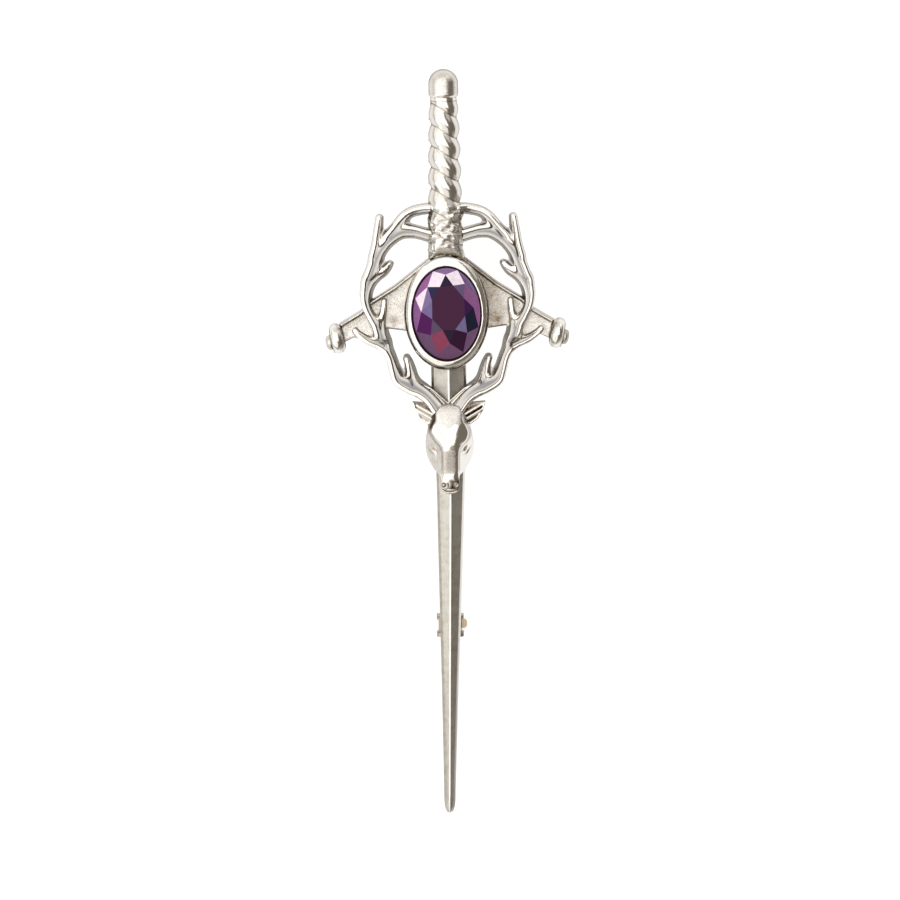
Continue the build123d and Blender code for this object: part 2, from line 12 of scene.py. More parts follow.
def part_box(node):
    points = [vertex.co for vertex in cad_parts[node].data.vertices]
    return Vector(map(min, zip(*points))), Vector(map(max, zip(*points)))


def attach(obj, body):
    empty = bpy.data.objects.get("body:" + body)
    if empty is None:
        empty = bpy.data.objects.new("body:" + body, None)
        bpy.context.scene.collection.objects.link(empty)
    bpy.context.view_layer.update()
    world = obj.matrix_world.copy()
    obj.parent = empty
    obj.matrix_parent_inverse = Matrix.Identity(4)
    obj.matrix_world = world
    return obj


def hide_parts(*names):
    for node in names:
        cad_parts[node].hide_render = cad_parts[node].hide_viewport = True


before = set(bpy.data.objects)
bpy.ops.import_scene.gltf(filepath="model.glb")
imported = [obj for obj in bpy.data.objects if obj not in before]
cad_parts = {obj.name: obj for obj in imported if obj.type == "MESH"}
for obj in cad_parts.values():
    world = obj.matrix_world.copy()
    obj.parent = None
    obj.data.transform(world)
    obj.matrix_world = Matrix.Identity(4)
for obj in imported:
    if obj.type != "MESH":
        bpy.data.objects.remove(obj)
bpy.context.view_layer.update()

MM = 0.001


def node_box(name):
    """Lowest and highest corner of a CAD node in millimetres."""
    low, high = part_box(name)
    return np.array(low) / MM, np.array(high) / MM


# Places taken from the frame
stone_low, stone_high = node_box("stone")
STONE_Y = (stone_low[1] + stone_high[1]) / 2
STONE_HALF_X = (stone_high[0] - stone_low[0]) / 2
STONE_HALF_Y = (stone_high[1] - stone_low[1]) / 2
POMMEL_Y = node_box("casting")[1][1]
SEAT_UNDER_STONE = 0.75
BACK = stone_low[2] - SEAT_UNDER_STONE

# The casting isn't quite even, so each side has its own stretch and place
ANTLER_STRETCH = {-1: 0.985, 1: 1.010}
ARM_RISE = {-1: -0.10, 1: 0.15}
BUTTON_PLACE = {-1: (15.00, 14.35), 1: (15.12, 14.78)}

# The blade lies on the back's plane. What overlaps it starts this little above, so that no
# two backs that overlap lie in one plane
GUARD_FOOT = 0.02
BUTTON_FOOT = 0.03
BEZEL_FOOT = 0.03
ANTLER_FOOT = {-1: 0.040, 1: 0.045}
GRIP_FOOT = 0.05
HEAD_FOOT = 0.06

# Fineness of the modelled surfaces
FINE = 0.075
MEDIUM = 0.09
COARSE = 0.11


def ramp(value, start, end):
    """0 before start, 1 after end, and an S curve in between."""
    t = np.clip((value - start) / (end - start), 0, 1)
    return t * t * (3 - 2 * t)


def smooth_min(a, b, width):
    """The smaller of two fields with a fillet where they meet."""
    share = np.clip(0.5 + 0.5 * (b - a) / width, 0, 1)
    return b + (a - b) * share - width * share * (1 - share)


def smooth_max(a, b, width):
    """The larger of two fields with a rounded edge where they meet."""
    return -smooth_min(-a, -b, width)


def bell(value, middle, width):
    """A soft bump of height 1."""
    return np.exp(-((value - middle) / width) ** 2)


def lumps(x, y, z, size, seed):
    """Uneven waves between about -1 and 1 with features of that size."""
    chance = np.random.default_rng(seed)
    total = 0
    for _ in range(7):
        turn = chance.normal(size=3)
        turn = turn / np.linalg.norm(turn) * math.pi / size * chance.uniform(0.7, 1.3)
        total = total + np.sin(turn[0] * x + turn[1] * y + turn[2] * z + chance.uniform(0, 6.28))
    return total / 3.0


def spline(rows, steps=6):
    """Rows resampled along a smooth curve through them, every column alike."""
    rows = np.array(rows, float)
    ends = np.vstack([2 * rows[0] - rows[1], rows, 2 * rows[-1] - rows[-2]])
    t = np.arange(steps)[:, None] / steps
    spans = []
    for a, b, c, d in zip(ends, ends[1:], ends[2:], ends[3:]):
        spans.append(0.5 * (
            2 * b + (c - a) * t + (2 * a - 5 * b + 4 * c - d) * t ** 2 + (3 * b - a - 3 * c + d) * t ** 3))
    return np.vstack(spans + [rows[-1:]])


def stroke_plan(x, y, rows):
    """Signed distance in plan to a tapering stroke, and its half width and height there."""
    shape = np.broadcast(x, y).shape
    gap = np.full(shape, 1e6)
    half = np.ones(shape)
    high = np.zeros(shape)
    points = spline(rows)
    for (x0, y0, w0, h0), (x1, y1, w1, h1) in zip(points[:-1], points[1:]):
        dx = x1 - x0
        dy = y1 - y0
        t = np.clip(((x - x0) * dx + (y - y0) * dy) / (dx * dx + dy * dy), 0, 1)
        here = (w0 + (w1 - w0) * t) / 2
        distance = np.hypot(x - x0 - t * dx, y - y0 - t * dy) - here
        closer = distance < gap
        gap = np.where(closer, distance, gap)
        half = np.where(closer, here, half)
        high = np.where(closer, h0 + (h1 - h0) * t, high)
    return gap, half, high


def joined_plan(x, y, strokes, web):
    """The joined outline of several strokes, webbed where they fork."""
    gap = None
    total = 0
    half = 0
    high = 0
    for rows in strokes:
        distance, own_half, own_high = stroke_plan(x, y, rows)
        weight = np.exp(-np.clip(distance, -3, 3) / 0.2)
        total = total + weight
        half = half + weight * own_half
        high = high + weight * own_high
        gap = distance if gap is None else smooth_min(gap, distance, web)
    return gap, half / total, high / total


def polygon_plan(x, y, corners):
    """Signed distance in plan to a polygon."""
    corners = np.array(corners, float)
    nearest = 1e6
    inside = False
    for (x0, y0), (x1, y1) in zip(corners, np.roll(corners, -1, axis=0)):
        dx = x1 - x0
        dy = y1 - y0
        t = np.clip(((x - x0) * dx + (y - y0) * dy) / (dx * dx + dy * dy), 0, 1)
        nearest = np.minimum(nearest, np.hypot(x - x0 - t * dx, y - y0 - t * dy))
        if dy != 0:
            crossed = ((y0 > y) != (y1 > y)) & (x < x0 + dx * (y - y0) / dy)
            inside = inside ^ crossed
    return np.where(inside, -nearest, nearest)


def surface_net(field, low, high, step):
    """Points and quads where a field, negative inside, crosses zero within a box."""
    axes = [np.arange(a, b + step, step) for a, b in zip(low, high)]
    x, y, z = np.meshgrid(*axes, indexing="ij", sparse=True)
    values = field(x, y, z).astype(np.float32)
    inside = values < 0
    cells = np.array(values.shape) - 1
    crossings = []
    for axis in range(3):
        where = np.argwhere(np.diff(inside, axis=axis))
        beyond = where.copy()
        beyond[:, axis] += 1
        near = values[tuple(where.T)]
        far = values[tuple(beyond.T)]
        point = where.astype(float)
        point[:, axis] += near / (near - far)
        one = (axis + 1) % 3
        two = (axis + 2) % 3
        kept = np.all(where > 0, axis=1) & np.all(where < cells, axis=1)
        where = where[kept]
        point = point[kept]
        rises = near[kept] < 0
        around = []
        for back_one, back_two in ((1, 1), (0, 1), (0, 0), (1, 0)):
            cell = where.copy()
            cell[:, one] -= back_one
            cell[:, two] -= back_two
            around.append(np.ravel_multi_index(tuple(cell.T), tuple(cells)))
        crossings.append((np.stack(around, axis=1), point, rises))
    ids = np.concatenate([around.ravel() for around, _, _ in crossings])
    spots = np.concatenate([np.repeat(point, 4, axis=0) for _, point, _ in crossings])
    unique, index = np.unique(ids, return_inverse=True)
    counts = np.bincount(index)
    points = np.stack([np.bincount(index, spots[:, k]) / counts for k in range(3)], axis=1)
    quads = []
    for around, _, rises in crossings:
        corners = np.searchsorted(unique, around)
        quads.append(corners[rises])
        quads.append(corners[~rises][:, ::-1])
    return points * step + np.array([axis[0] for axis in axes]), np.concatenate(quads)


def side_box(side, inner, outer, start, end):
    """Corners of a box on one side, by distances off the middle and by its ends in Y and Z."""
    first, last = sorted((side * inner, side * outer))
    return (first, *start), (last, *end)


def make_mesh(name, points, faces, smooth=True):
    """A mesh in metres from points in millimetres."""
    mesh = bpy.data.meshes.new(name)
    mesh.from_pydata((np.asarray(points) * MM).tolist(), [], np.asarray(faces, dtype=object).tolist())
    mesh.validate()
    if smooth:
        mesh.shade_smooth()
    return mesh


def add_object(name, data):
    """A new object, linked to the scene."""
    item = bpy.data.objects.new(name, data)
    bpy.context.scene.collection.objects.link(item)
    return item


def add_piece(name, mesh, material, body="pin", node="casting"):
    """An object that rides on a body and stands for a CAD node."""
    piece = add_object(name, mesh)
    mesh.materials.append(material)
    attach(piece, body)
    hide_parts(node)
    return piece


def paint(mesh, **layers):
    """Stores a number from 0 to 1 for each point, by name, for the materials to read."""
    for name, values in layers.items():
        layer = mesh.attributes.new(name, "FLOAT", "POINT")
        full = np.broadcast_to(np.clip(values, 0, 1), len(mesh.vertices)).astype(np.float32)
        layer.data.foreach_set("value", np.ascontiguousarray(full))


def normals_of(mesh):
    """Each point's normal."""
    found = np.zeros(len(mesh.vertices) * 3, np.float32)
    mesh.vertex_normals.foreach_get("vector", found)
    return found.reshape(-1, 3)


def loft(loops, closed_ends=True):
    """Points and faces of a skin over closed loops with equal counts of points."""
    loops = np.array(loops, float)
    count = loops.shape[1]
    faces = []
    for row in range(len(loops) - 1):
        lower = row * count
        upper = lower + count
        for k in range(count):
            after = (k + 1) % count
            faces.append((lower + k, lower + after, upper + after, upper + k))
    if closed_ends:
        faces.append(tuple(range(count))[::-1])
        faces.append(tuple((len(loops) - 1) * count + k for k in range(count)))
    return loops.reshape(-1, 3), faces


# Materials

SILVER = (0.80, 0.78, 0.735)
SATIN = (0.490, 0.481, 0.434)
# The next three colours are a grey for painted shade, and a brown and a black for patina and painted shade;
# the brown also serves for mottling and dirt
GREY_SHADE = (0.215, 0.208, 0.205)
TARNISH_AND_SHADE = (0.25, 0.198, 0.142)
BLACK_PATINA_AND_SHADE = (0.022, 0.015, 0.009)
STEEL = (0.80, 0.79, 0.77)
BRASSY = (0.42, 0.34, 0.23)


def tone(red, green, blue):
    """A colour as seen, from 0 to 255, as the shares of light that a shader needs."""
    return tuple(((c / 255 + 0.055) / 1.055) ** 2.4 for c in (red, green, blue))


class Nodes:
    """A small helper that adds and links the nodes of a material."""

    def __init__(self, name):
        self.material = bpy.data.materials.new(name)
        self.material.use_nodes = True
        self.tree = self.material.node_tree
        self.shader = self.tree.nodes["Principled BSDF"]

    def add(self, kind, **settings):
        node = self.tree.nodes.new(kind)
        for key, value in settings.items():
            setattr(node, key, value)
        return node

    def link(self, start, end):
        self.tree.links.new(start, end)

    def layer(self, name):
        return self.add("ShaderNodeAttribute", attribute_name=name).outputs["Fac"]

    def noise(self, size_mm, detail=3.0, roughness=0.55, squeeze=None):
        """Noise with features of about that size, fixed to the piece, its axes scaled by squeeze."""
        place = self.add("ShaderNodeTexCoord").outputs["Object"]
        if squeeze is not None:
            mapping = self.add("ShaderNodeMapping")
            mapping.inputs["Scale"].default_value = squeeze
            self.link(place, mapping.inputs["Vector"])
            place = mapping.outputs["Vector"]
        node = self.add("ShaderNodeTexNoise")
        node.inputs["Scale"].default_value = 1 / (size_mm * MM)
        node.inputs["Detail"].default_value = detail
        node.inputs["Roughness"].default_value = roughness
        self.link(place, node.inputs["Vector"])
        return node.outputs["Fac"]

    def map(self, value, low, high, start=0.0, end=1.0):
        """The value's range from start to end carried over to low and high."""
        node = self.add("ShaderNodeMapRange")
        node.inputs["From Min"].default_value = start
        node.inputs["From Max"].default_value = end
        node.inputs["To Min"].default_value = low
        node.inputs["To Max"].default_value = high
        self.link(value, node.inputs["Value"])
        return node.outputs["Result"]

    def math(self, operation, a, b, clamp=False):
        node = self.add("ShaderNodeMath", operation=operation, use_clamp=clamp)
        for socket, value in zip(node.inputs, (a, b)):
            if isinstance(value, (int, float)):
                socket.default_value = value
            else:
                self.link(value, socket)
        return node.outputs["Value"]

    def mix(self, share, a, b):
        node = self.add("ShaderNodeMix", data_type="RGBA")
        self.link(share, node.inputs["Factor"])
        for socket, value in ((node.inputs[6], a), (node.inputs[7], b)):
            if isinstance(value, tuple):
                socket.default_value = (*value, 1)
            else:
                self.link(value, socket)
        return node.outputs[2]

    def bump(self, height, distance_mm, strength=1.0, before=None):
        node = self.add("ShaderNodeBump")
        node.inputs["Distance"].default_value = distance_mm * MM
        if isinstance(strength, (int, float)):
            node.inputs["Strength"].default_value = strength
        else:
            self.link(strength, node.inputs["Strength"])
        self.link(height, node.inputs["Height"])
        if before is not None:
            self.link(before, node.inputs["Normal"])
        return node.outputs["Normal"]

    def metal(self, colour, rough, normal):
        """Links what a metal is made of to its shader, and hands the material over."""
        self.link(colour, self.shader.inputs["Base Color"])
        self.shader.inputs["Metallic"].default_value = 1.0
        self.link(rough, self.shader.inputs["Roughness"])
        self.link(normal, self.shader.inputs["Normal"])
        return self.material


def cast_silver():
    """Silver that is polished or blasted as the layer matte says, brown to black where patina in
    recesses and painted shade are laid on, and a painted grey shade where that is laid on."""
    n = Nodes("cast_silver")
    matte = n.layer("matte")
    patina = n.layer("patina")
    blotches = n.noise(1.3, 4.0, 0.6)
    specks = n.noise(0.20, 3.0, 0.7)
    dull = n.math("ADD", matte, patina, clamp=True)
    uneven = n.math("MULTIPLY", n.map(blotches, 0.0, 1.0, 0.42, 0.72), dull)
    dark = n.math("ADD", patina, n.math("MULTIPLY", uneven, 0.22), clamp=True)
    pits = n.math("MULTIPLY", n.map(specks, 0.0, 0.75, 0.47, 0.70), matte)
    dark = n.math("ADD", dark, pits, clamp=True)
    base = n.mix(n.layer("grey"), SILVER, GREY_SHADE)
    base = n.mix(n.map(dark, 0.0, 1.0, 0.0, 0.75), base, TARNISH_AND_SHADE)
    base = n.mix(n.map(dark, 0.0, 1.0, 0.75, 1.0), base, BLACK_PATINA_AND_SHADE)
    rough = n.math("ADD", n.map(matte, 0.12, 0.50), n.math("MULTIPLY", patina, 0.16))
    rough = n.math("ADD", rough, n.map(n.noise(0.8), -0.02, 0.04))
    waves = n.bump(n.noise(1.5, 2.0), 0.03, 1.0)
    grain = n.bump(specks, 0.09, n.map(matte, 0.01, 1.0), waves)
    return n.metal(base, rough, grain)


def satin_silver():
    """The blade's flats: fine satin with faint mottling, painted shade in lines along them, and a bright
    ridge and right strip, part wear and part painted highlight.
    """
    n = Nodes("satin_silver")
    mottle = n.noise(0.9, 5.0, 0.65)
    fine = n.noise(0.12, 3.0, 0.7)
    worn = n.layer("worn")
    dark = n.math("ADD", n.map(mottle, 0.0, 0.40, 0.42, 0.72), n.layer("patina"), clamp=True)
    dark = n.math("ADD", dark, n.map(fine, 0.0, 0.30, 0.5, 0.72), clamp=True)
    base = n.mix(worn, n.mix(dark, SATIN, TARNISH_AND_SHADE), SILVER)
    rough = n.math("SUBTRACT", n.map(fine, 0.40, 0.50), n.math("MULTIPLY", worn, 0.18))
    return n.metal(base, rough, n.bump(fine, 0.018, 0.9, n.bump(mottle, 0.02, 0.5)))


def drawn_metal(name, colour, rough, streak_mm):
    """Drawn or plated metal with fine streaks along Y and a little dirt."""
    n = Nodes(name)
    streaks = n.noise(streak_mm, 4.0, 0.5, squeeze=(1, 0.08, 1))
    dirt = n.map(n.noise(0.9, 4.0, 0.6), 0.0, 0.35, 0.5, 0.75)
    base = n.mix(dirt, colour, TARNISH_AND_SHADE)
    return n.metal(base, n.map(streaks, rough - 0.06, rough + 0.08), n.bump(streaks, 0.01, 0.6))


def stone_glass():
    """Polished stone over foil: each facet's painted tint stands for the share of light it throws back, and
    it glows a little in that tint.
    """
    n = Nodes("purple_stone")
    shader = n.shader
    facet = n.add("ShaderNodeAttribute", attribute_name="facet")
    cloud = n.noise(0.45, 3.0)
    tint = n.mix(n.map(cloud, 0.0, 0.16, 0.3, 0.7), facet.outputs["Color"], (0.03, 0.01, 0.035))
    n.link(tint, shader.inputs["Base Color"])
    n.link(tint, shader.inputs["Emission Color"])
    # Painted glow: the facets give out light in their own tint
    shader.inputs["Emission Strength"].default_value = 0.3
    shader.inputs["Roughness"].default_value = 0.05
    shader.inputs["IOR"].default_value = 1.2
    n.link(n.bump(n.noise(0.35, 2.0), 0.002, 0.4), shader.inputs["Normal"])
    return n.material


SILVER_CAST = cast_silver()
SILVER_SATIN = satin_silver()

# Antlers: x, y, width and height of the beam and of each tine, for the right side
BEAM = [
    (0.78, 4.00, 2.40, 4.05), (2.34, 6.06, 2.20, 3.62), (3.68, 7.16, 2.35, 3.30),
    (5.25, 7.92, 2.50, 3.20), (6.61, 8.66, 2.15, 3.12), (7.20, 9.89, 1.80, 3.10),
    (7.72, 11.61, 1.62, 3.10), (8.33, 12.95, 1.80, 3.15), (8.88, 14.26, 2.25, 3.30),
    (9.44, 16.01, 2.00, 3.30), (10.30, 17.27, 1.62, 3.23), (10.96, 18.75, 1.66, 3.13),
    (11.08, 20.33, 1.90, 3.07), (10.70, 21.97, 2.12, 3.04), (10.00, 24.02, 2.10, 2.97),
    (9.22, 25.98, 2.10, 2.97), (7.86, 27.62, 2.05, 2.90), (6.28, 28.72, 2.25, 2.84),
    (4.85, 28.82, 2.10, 2.77), (3.49, 28.56, 1.95, 2.71), (0.89, 27.80, 2.05, 2.64),
]
TINES = {
    "brow": [
        (4.69, 7.69, 1.60, 2.70), (4.91, 9.30, 1.66, 2.84), (5.28, 10.80, 1.34, 2.64),
        (5.58, 11.52, 1.14, 2.38)],
    "spur": [
        (8.80, 13.50, 1.90, 2.70), (10.60, 14.02, 1.62, 2.90), (12.00, 14.86, 1.28, 2.75),
        (12.60, 15.44, 1.14, 2.60)],
    "inner": [
        (9.10, 15.74, 1.40, 2.80), (8.70, 17.81, 1.25, 3.04), (8.58, 18.90, 1.08, 2.84),
        (8.55, 19.42, 0.96, 2.64)],
    "hook": [
        (10.77, 22.05, 1.50, 2.70), (8.95, 23.15, 1.60, 2.80), (8.14, 23.85, 1.30, 2.60),
        (7.72, 24.40, 1.02, 2.36)],
    "top": [
        (9.82, 25.41, 1.45, 2.71), (9.50, 27.85, 1.42, 2.77), (9.26, 29.49, 1.34, 2.64),
        (9.12, 30.66, 1.20, 2.40)],
    "arch": [
        (7.70, 28.14, 1.60, 2.60), (6.08, 30.36, 1.66, 2.77), (4.80, 31.36, 1.60, 2.71),
        (3.40, 31.74, 1.62, 2.74), (2.35, 31.88, 1.60, 3.00), (1.84, 31.94, 1.30, 3.45)],
}
ANTLER_WEB = 0.86
# Low web between each antler's root and the blade, down to a point over the brow
ROOT_WEB = [(-0.02, 4.60), (-0.02, 5.46), (2.26, 7.44), (3.70, 8.15), (4.20, 8.10), (1.60, 4.70)]
WEB_HIGH = 2.62
WEB_RIM = 0.22
# The top face lies further out than the foot, so that the walls towards the stone show
TOP_SHIFT = 0.21
TOP_INSET = 0.30
ROLL_OUTER = 0.46
ROLL_INNER = 0.17
DISH_SHIFT = -0.12
DISH_INSET = 0.56
DISH_DEPTH = 0.16


def antler_shape(x, y):
    """Plan of the right antler: outlines of its foot and top face, its heights and its hollows."""
    strokes = [BEAM, *TINES.values()]
    away = np.hypot(x, y - STONE_Y) + 1e-6
    out_x = x / away
    out_y = (y - STONE_Y) / away

    def plan(shift):
        return joined_plan(x - shift * out_x, y - shift * out_y, strokes, ANTLER_WEB)

    foot, half, high = plan(0.0)
    inset = np.minimum(TOP_INSET, 0.38 * half)
    share = inset / TOP_INSET
    top = plan(TOP_SHIFT * share)[0] + inset
    outer = ramp((plan(-0.2)[0] - plan(0.45)[0]) / 0.65, -0.7, 0.7)
    roll = np.minimum(ROLL_INNER + (ROLL_OUTER - ROLL_INNER) * outer, 0.9 * (half - inset))
    t = np.clip(-top / roll, 0, 1)
    drop = 0.8 * roll * (1 - np.sqrt(1 - (1 - t) ** 2))
    hollow = ramp(-plan(DISH_SHIFT)[0] - DISH_INSET, -0.05, 0.13)
    return foot, top, high, high - drop - DISH_DEPTH * hollow, hollow


def make_antler(name, side):
    """One antler, from its root on the head to the grip."""
    stretch = side * ANTLER_STRETCH[side]

    def field(x, y, z):
        foot, top_outline, high, top, _ = antler_shape(x / stretch, y)
        rise = z - BACK
        share = np.clip(rise / high, 0, 1)
        wall = foot * (1 - share) + top_outline * share
        web = polygon_plan(x / stretch, y, ROOT_WEB) - 0.05
        web_top = WEB_HIGH - WEB_RIM * ramp(-web, 0.16, 0.34)
        branches = smooth_max(wall, 0.8 * (rise - top), 0.06)
        low_web = smooth_max(web, rise - web_top, 0.10)
        return np.maximum(smooth_min(branches, low_web, 0.12), ANTLER_FOOT[side] - rise)

    box = side_box(side, -0.24, 13.6, (2.4, BACK - 0.3), (33.2, BACK + 4.0))
    points, quads = surface_net(field, *box, MEDIUM)
    mesh = make_mesh(name, points, quads)
    x, y, z = points.T
    normals = normals_of(mesh)
    foot, _, high, _, hollow = antler_shape(x / stretch, y)
    upper = ramp((z - BACK) / high, 0.80, 0.93)
    away = np.hypot(x, y - STONE_Y)
    inward = -(normals[:, 0] * x + normals[:, 1] * (y - STONE_Y)) / away
    wall = ramp(1 - np.abs(normals[:, 2]), 0.62, 0.88)
    crease = 4 * hollow * (1 - hollow)
    fork = ramp(-foot, 0.72, 1.10)
    if side > 0:
        fork = fork * ramp(y, 5.0, 8.0)
    web = polygon_plan(x / stretch, y, ROOT_WEB)
    web = ramp(web, 0.1, -0.2) * ramp(foot, -0.05, 0.10)
    # Painted shade, over some patina: a grey in the dishes that is darker at the forks, and brown in the
    # crease round them, on the walls, more where they face the stone and near the top, and on the root web,
    # more on the left
    web_patina = 0.42 if side < 0 else 0.26
    wall_patina = 0.42 + (0.37 + 0.16 * upper) * ramp(inward, -0.2, 0.4)
    paint(
        mesh, grey=(0.58 + 0.42 * fork) * ramp(hollow, 0.3, 0.9) * (1 - wall),
        patina=0.80 * crease * (1 - wall) + wall * wall_patina + web_patina * web * (1 - wall),
        matte=0.10 * hollow + 0.4 * wall + 0.35 * web)
    return add_piece(name, mesh, SILVER_CAST)


# Guard: the right arm's outline from the middle out along its upper edge and back
GUARD_UPPER = [(0.0, 25.3), (2.27, 25.3), (6.95, 21.65), (10.27, 19.60), (11.70, 18.20), (14.65, 16.45)]
GUARD_LOWER = [
    (14.04, 13.80), (12.68, 14.50), (11.35, 14.10), (9.70, 14.10), (8.08, 15.70), (5.74, 15.35),
    (0.0, 15.35),
]
GUARD_HIGH = 1.7
GUARD_RIM = 0.3


def make_guard_arm(name, side):
    """One arm: a blasted plate with a raised upper edge."""
    upper_band = GUARD_UPPER + [(x, y - 0.5) for x, y in reversed(GUARD_UPPER)]
    corners = GUARD_UPPER + GUARD_LOWER

    def field(x, y, z):
        outline = polygon_plan(side * x, y - ARM_RISE[side], corners) - 0.06
        edge = polygon_plan(side * x, y - ARM_RISE[side], upper_band)
        rise = z - BACK
        top = GUARD_HIGH + GUARD_RIM * ramp(-edge, -0.16, 0.10) - 0.12 * ramp(-outline, 0.3, 1.6)
        return np.maximum(smooth_max(outline + 0.06 * rise, rise - top, 0.3), GUARD_FOOT - rise)

    box = side_box(side, 0.6, 15.2, (13.0, BACK - 0.3), (26.0, BACK + 2.5))
    points, quads = surface_net(field, *box, COARSE)
    mesh = make_mesh(name, points, quads)
    x, y, _ = points.T
    normals = normals_of(mesh)
    flat = ramp(normals[:, 2], 0.7, 0.95)
    edge = polygon_plan(side * x, y - ARM_RISE[side], upper_band)
    # Painted shade: darker on the steep edges, near the bezel and over the whole right arm much more than the
    # left, and under the raised rim; and a darker spot on each arm beside the inner tine
    near_stone = bell(np.hypot(x / 6.6, (y - STONE_Y) / 8.3), 1.0, 0.2)
    dark_spot = bell(np.hypot(np.abs(x) - 7.1, y - 16.7), 0, 0.7)
    under_rim_shade = bell(edge, 0.15, 0.16)
    arm_shade = 0.30 * near_stone + 0.08 if side > 0 else 0.03 * near_stone + 0.04
    patina = 0.32 * (1 - flat) + arm_shade + 0.3 * dark_spot + 0.16 * under_rim_shade * flat
    paint(mesh, patina=patina, matte=0.3 + 0.28 * flat)
    return add_piece(name, mesh, SILVER_CAST)


# Buttons at the ends of the guard
BUTTON_HIGH = 1.35
BUTTON_LEAN = 13.0
KNOB_DROP = 0.36
# Profile of a button from the arm outwards: radius, place along the axis
BUTTON_PROFILE = [
    (0.0, -1.02), (1.00, -1.00), (1.30, -0.96), (1.62, -0.86), (1.88, -0.64), (2.05, -0.34), (2.12, 0.0),
    (2.05, 0.34), (1.88, 0.62), (1.62, 0.80), (1.36, 0.84), (1.14, 0.80), (1.02, 0.86), (1.02, 1.00),
    (1.00, 1.20), (0.88, 1.40), (0.62, 1.54), (0.30, 1.60), (0.0, 1.61),
]


def make_button(name, side):
    """The rounded disc and its knob at the end of a guard arm."""
    turns = 64
    profile = spline(BUTTON_PROFILE, 3)
    angles = np.arange(turns) * 2 * math.pi / turns
    lean = math.radians(90 - BUTTON_LEAN)
    axis = np.array([math.sin(lean), -math.cos(lean), 0])
    across = np.array([math.cos(lean), math.sin(lean), 0])
    up = np.array([0, 0, 1])
    centre = np.array([*BUTTON_PLACE[side], BACK + BUTTON_HIGH])
    loops = []
    for radius, along in profile:
        radius = max(radius, 0.002)
        ring = radius * (np.cos(angles)[:, None] * across + np.sin(angles)[:, None] * up)
        loops.append(centre + along * axis - KNOB_DROP * ramp(along, 0.6, 0.95) * across + ring)
    points, faces = loft(loops)
    points = points * np.array([side, 1, 1])
    points[:, 2] = np.maximum(points[:, 2], BACK + BUTTON_FOOT)
    if side < 0:
        faces = [face[::-1] for face in faces]
    mesh = make_mesh(name, points, faces)
    along = np.repeat(profile[:, 1], turns)
    # Patina and painted shade: darker in the grooves, on the steep faces and in a band on the disc's arm
    # side, and on the knob, more on the right
    groove = bell(along, 0.84, 0.14) + bell(along, -0.95, 0.1)
    knob = ramp(along, 0.9, 1.1)
    steep = ramp(normals_of(mesh)[:, 2], 0.50, 0.15)
    shade = bell(along, -0.45, 0.22)
    paint(
        mesh, patina=0.6 * groove + (0.34 if side > 0 else 0.16) * knob + 0.34 * steep + 0.30 * shade,
        matte=0.10 + 0.3 * groove + 0.25 * knob)
    return add_piece(name, mesh, SILVER_CAST)


# Grip and pommel
GRIP_AXIS = 1.8
GRIP_PITCH = 2.91
GRIP_GROOVE_Y = 45.4
GRIP_SLANT = 1.92
# The turns lie steeper across the front than at the sides
GRIP_SWING = 0.50
GRIP_LEAN = 0.09
# Place along Y, radius there and depth of the grooves
GRIP_TABLE = [
    (24.0, 2.52, 0.26), (26.5, 2.46, 0.26), (28.5, 2.46, 0.30), (30.5, 2.42, 0.32), (32.5, 2.34, 0.38),
    (34.5, 2.30, 0.44), (37.0, 2.28, 0.44), (40.0, 2.22, 0.44), (43.0, 2.14, 0.42), (45.5, 2.04, 0.32),
    (46.6, 1.86, 0.15), (48.0, 1.80, 0.0),
]
POMMEL_RADIUS = 2.03
POMMEL_FOOT_Y = 47.15
COLLAR_Y = 46.9
# Half axes of the stone's opening, and the bezel's width at its sides and at its ends
BEZEL_OPENING = (4.72, 6.42)
BEZEL_SIDE = 1.10
BEZEL_END = 1.35


def grip_phase(x, y, z):
    """How many turns from the first groove, at a place on the grip."""
    angle = np.arctan2(z - BACK - GRIP_AXIS, x) - math.pi / 2
    angle = angle + GRIP_SWING * np.sin(2 * angle)
    return (GRIP_GROOVE_Y + GRIP_SLANT * angle / math.pi - y) / GRIP_PITCH


def grip_lumps(x, y, z):
    """How far the rough lower part of the grip rises and falls."""
    return 0.085 * lumps(x, y, z, 0.75, 3) + 0.055 * lumps(x, y, z, 0.36, 4)


def outside_bezel(x, y):
    """Distance in plan from the bezel's outer oval, positive outside."""
    half_x = BEZEL_OPENING[0] + BEZEL_SIDE
    half_y = BEZEL_OPENING[1] + BEZEL_END
    return (np.hypot(x / half_x, (y - STONE_Y) / half_y) - 1) * half_x


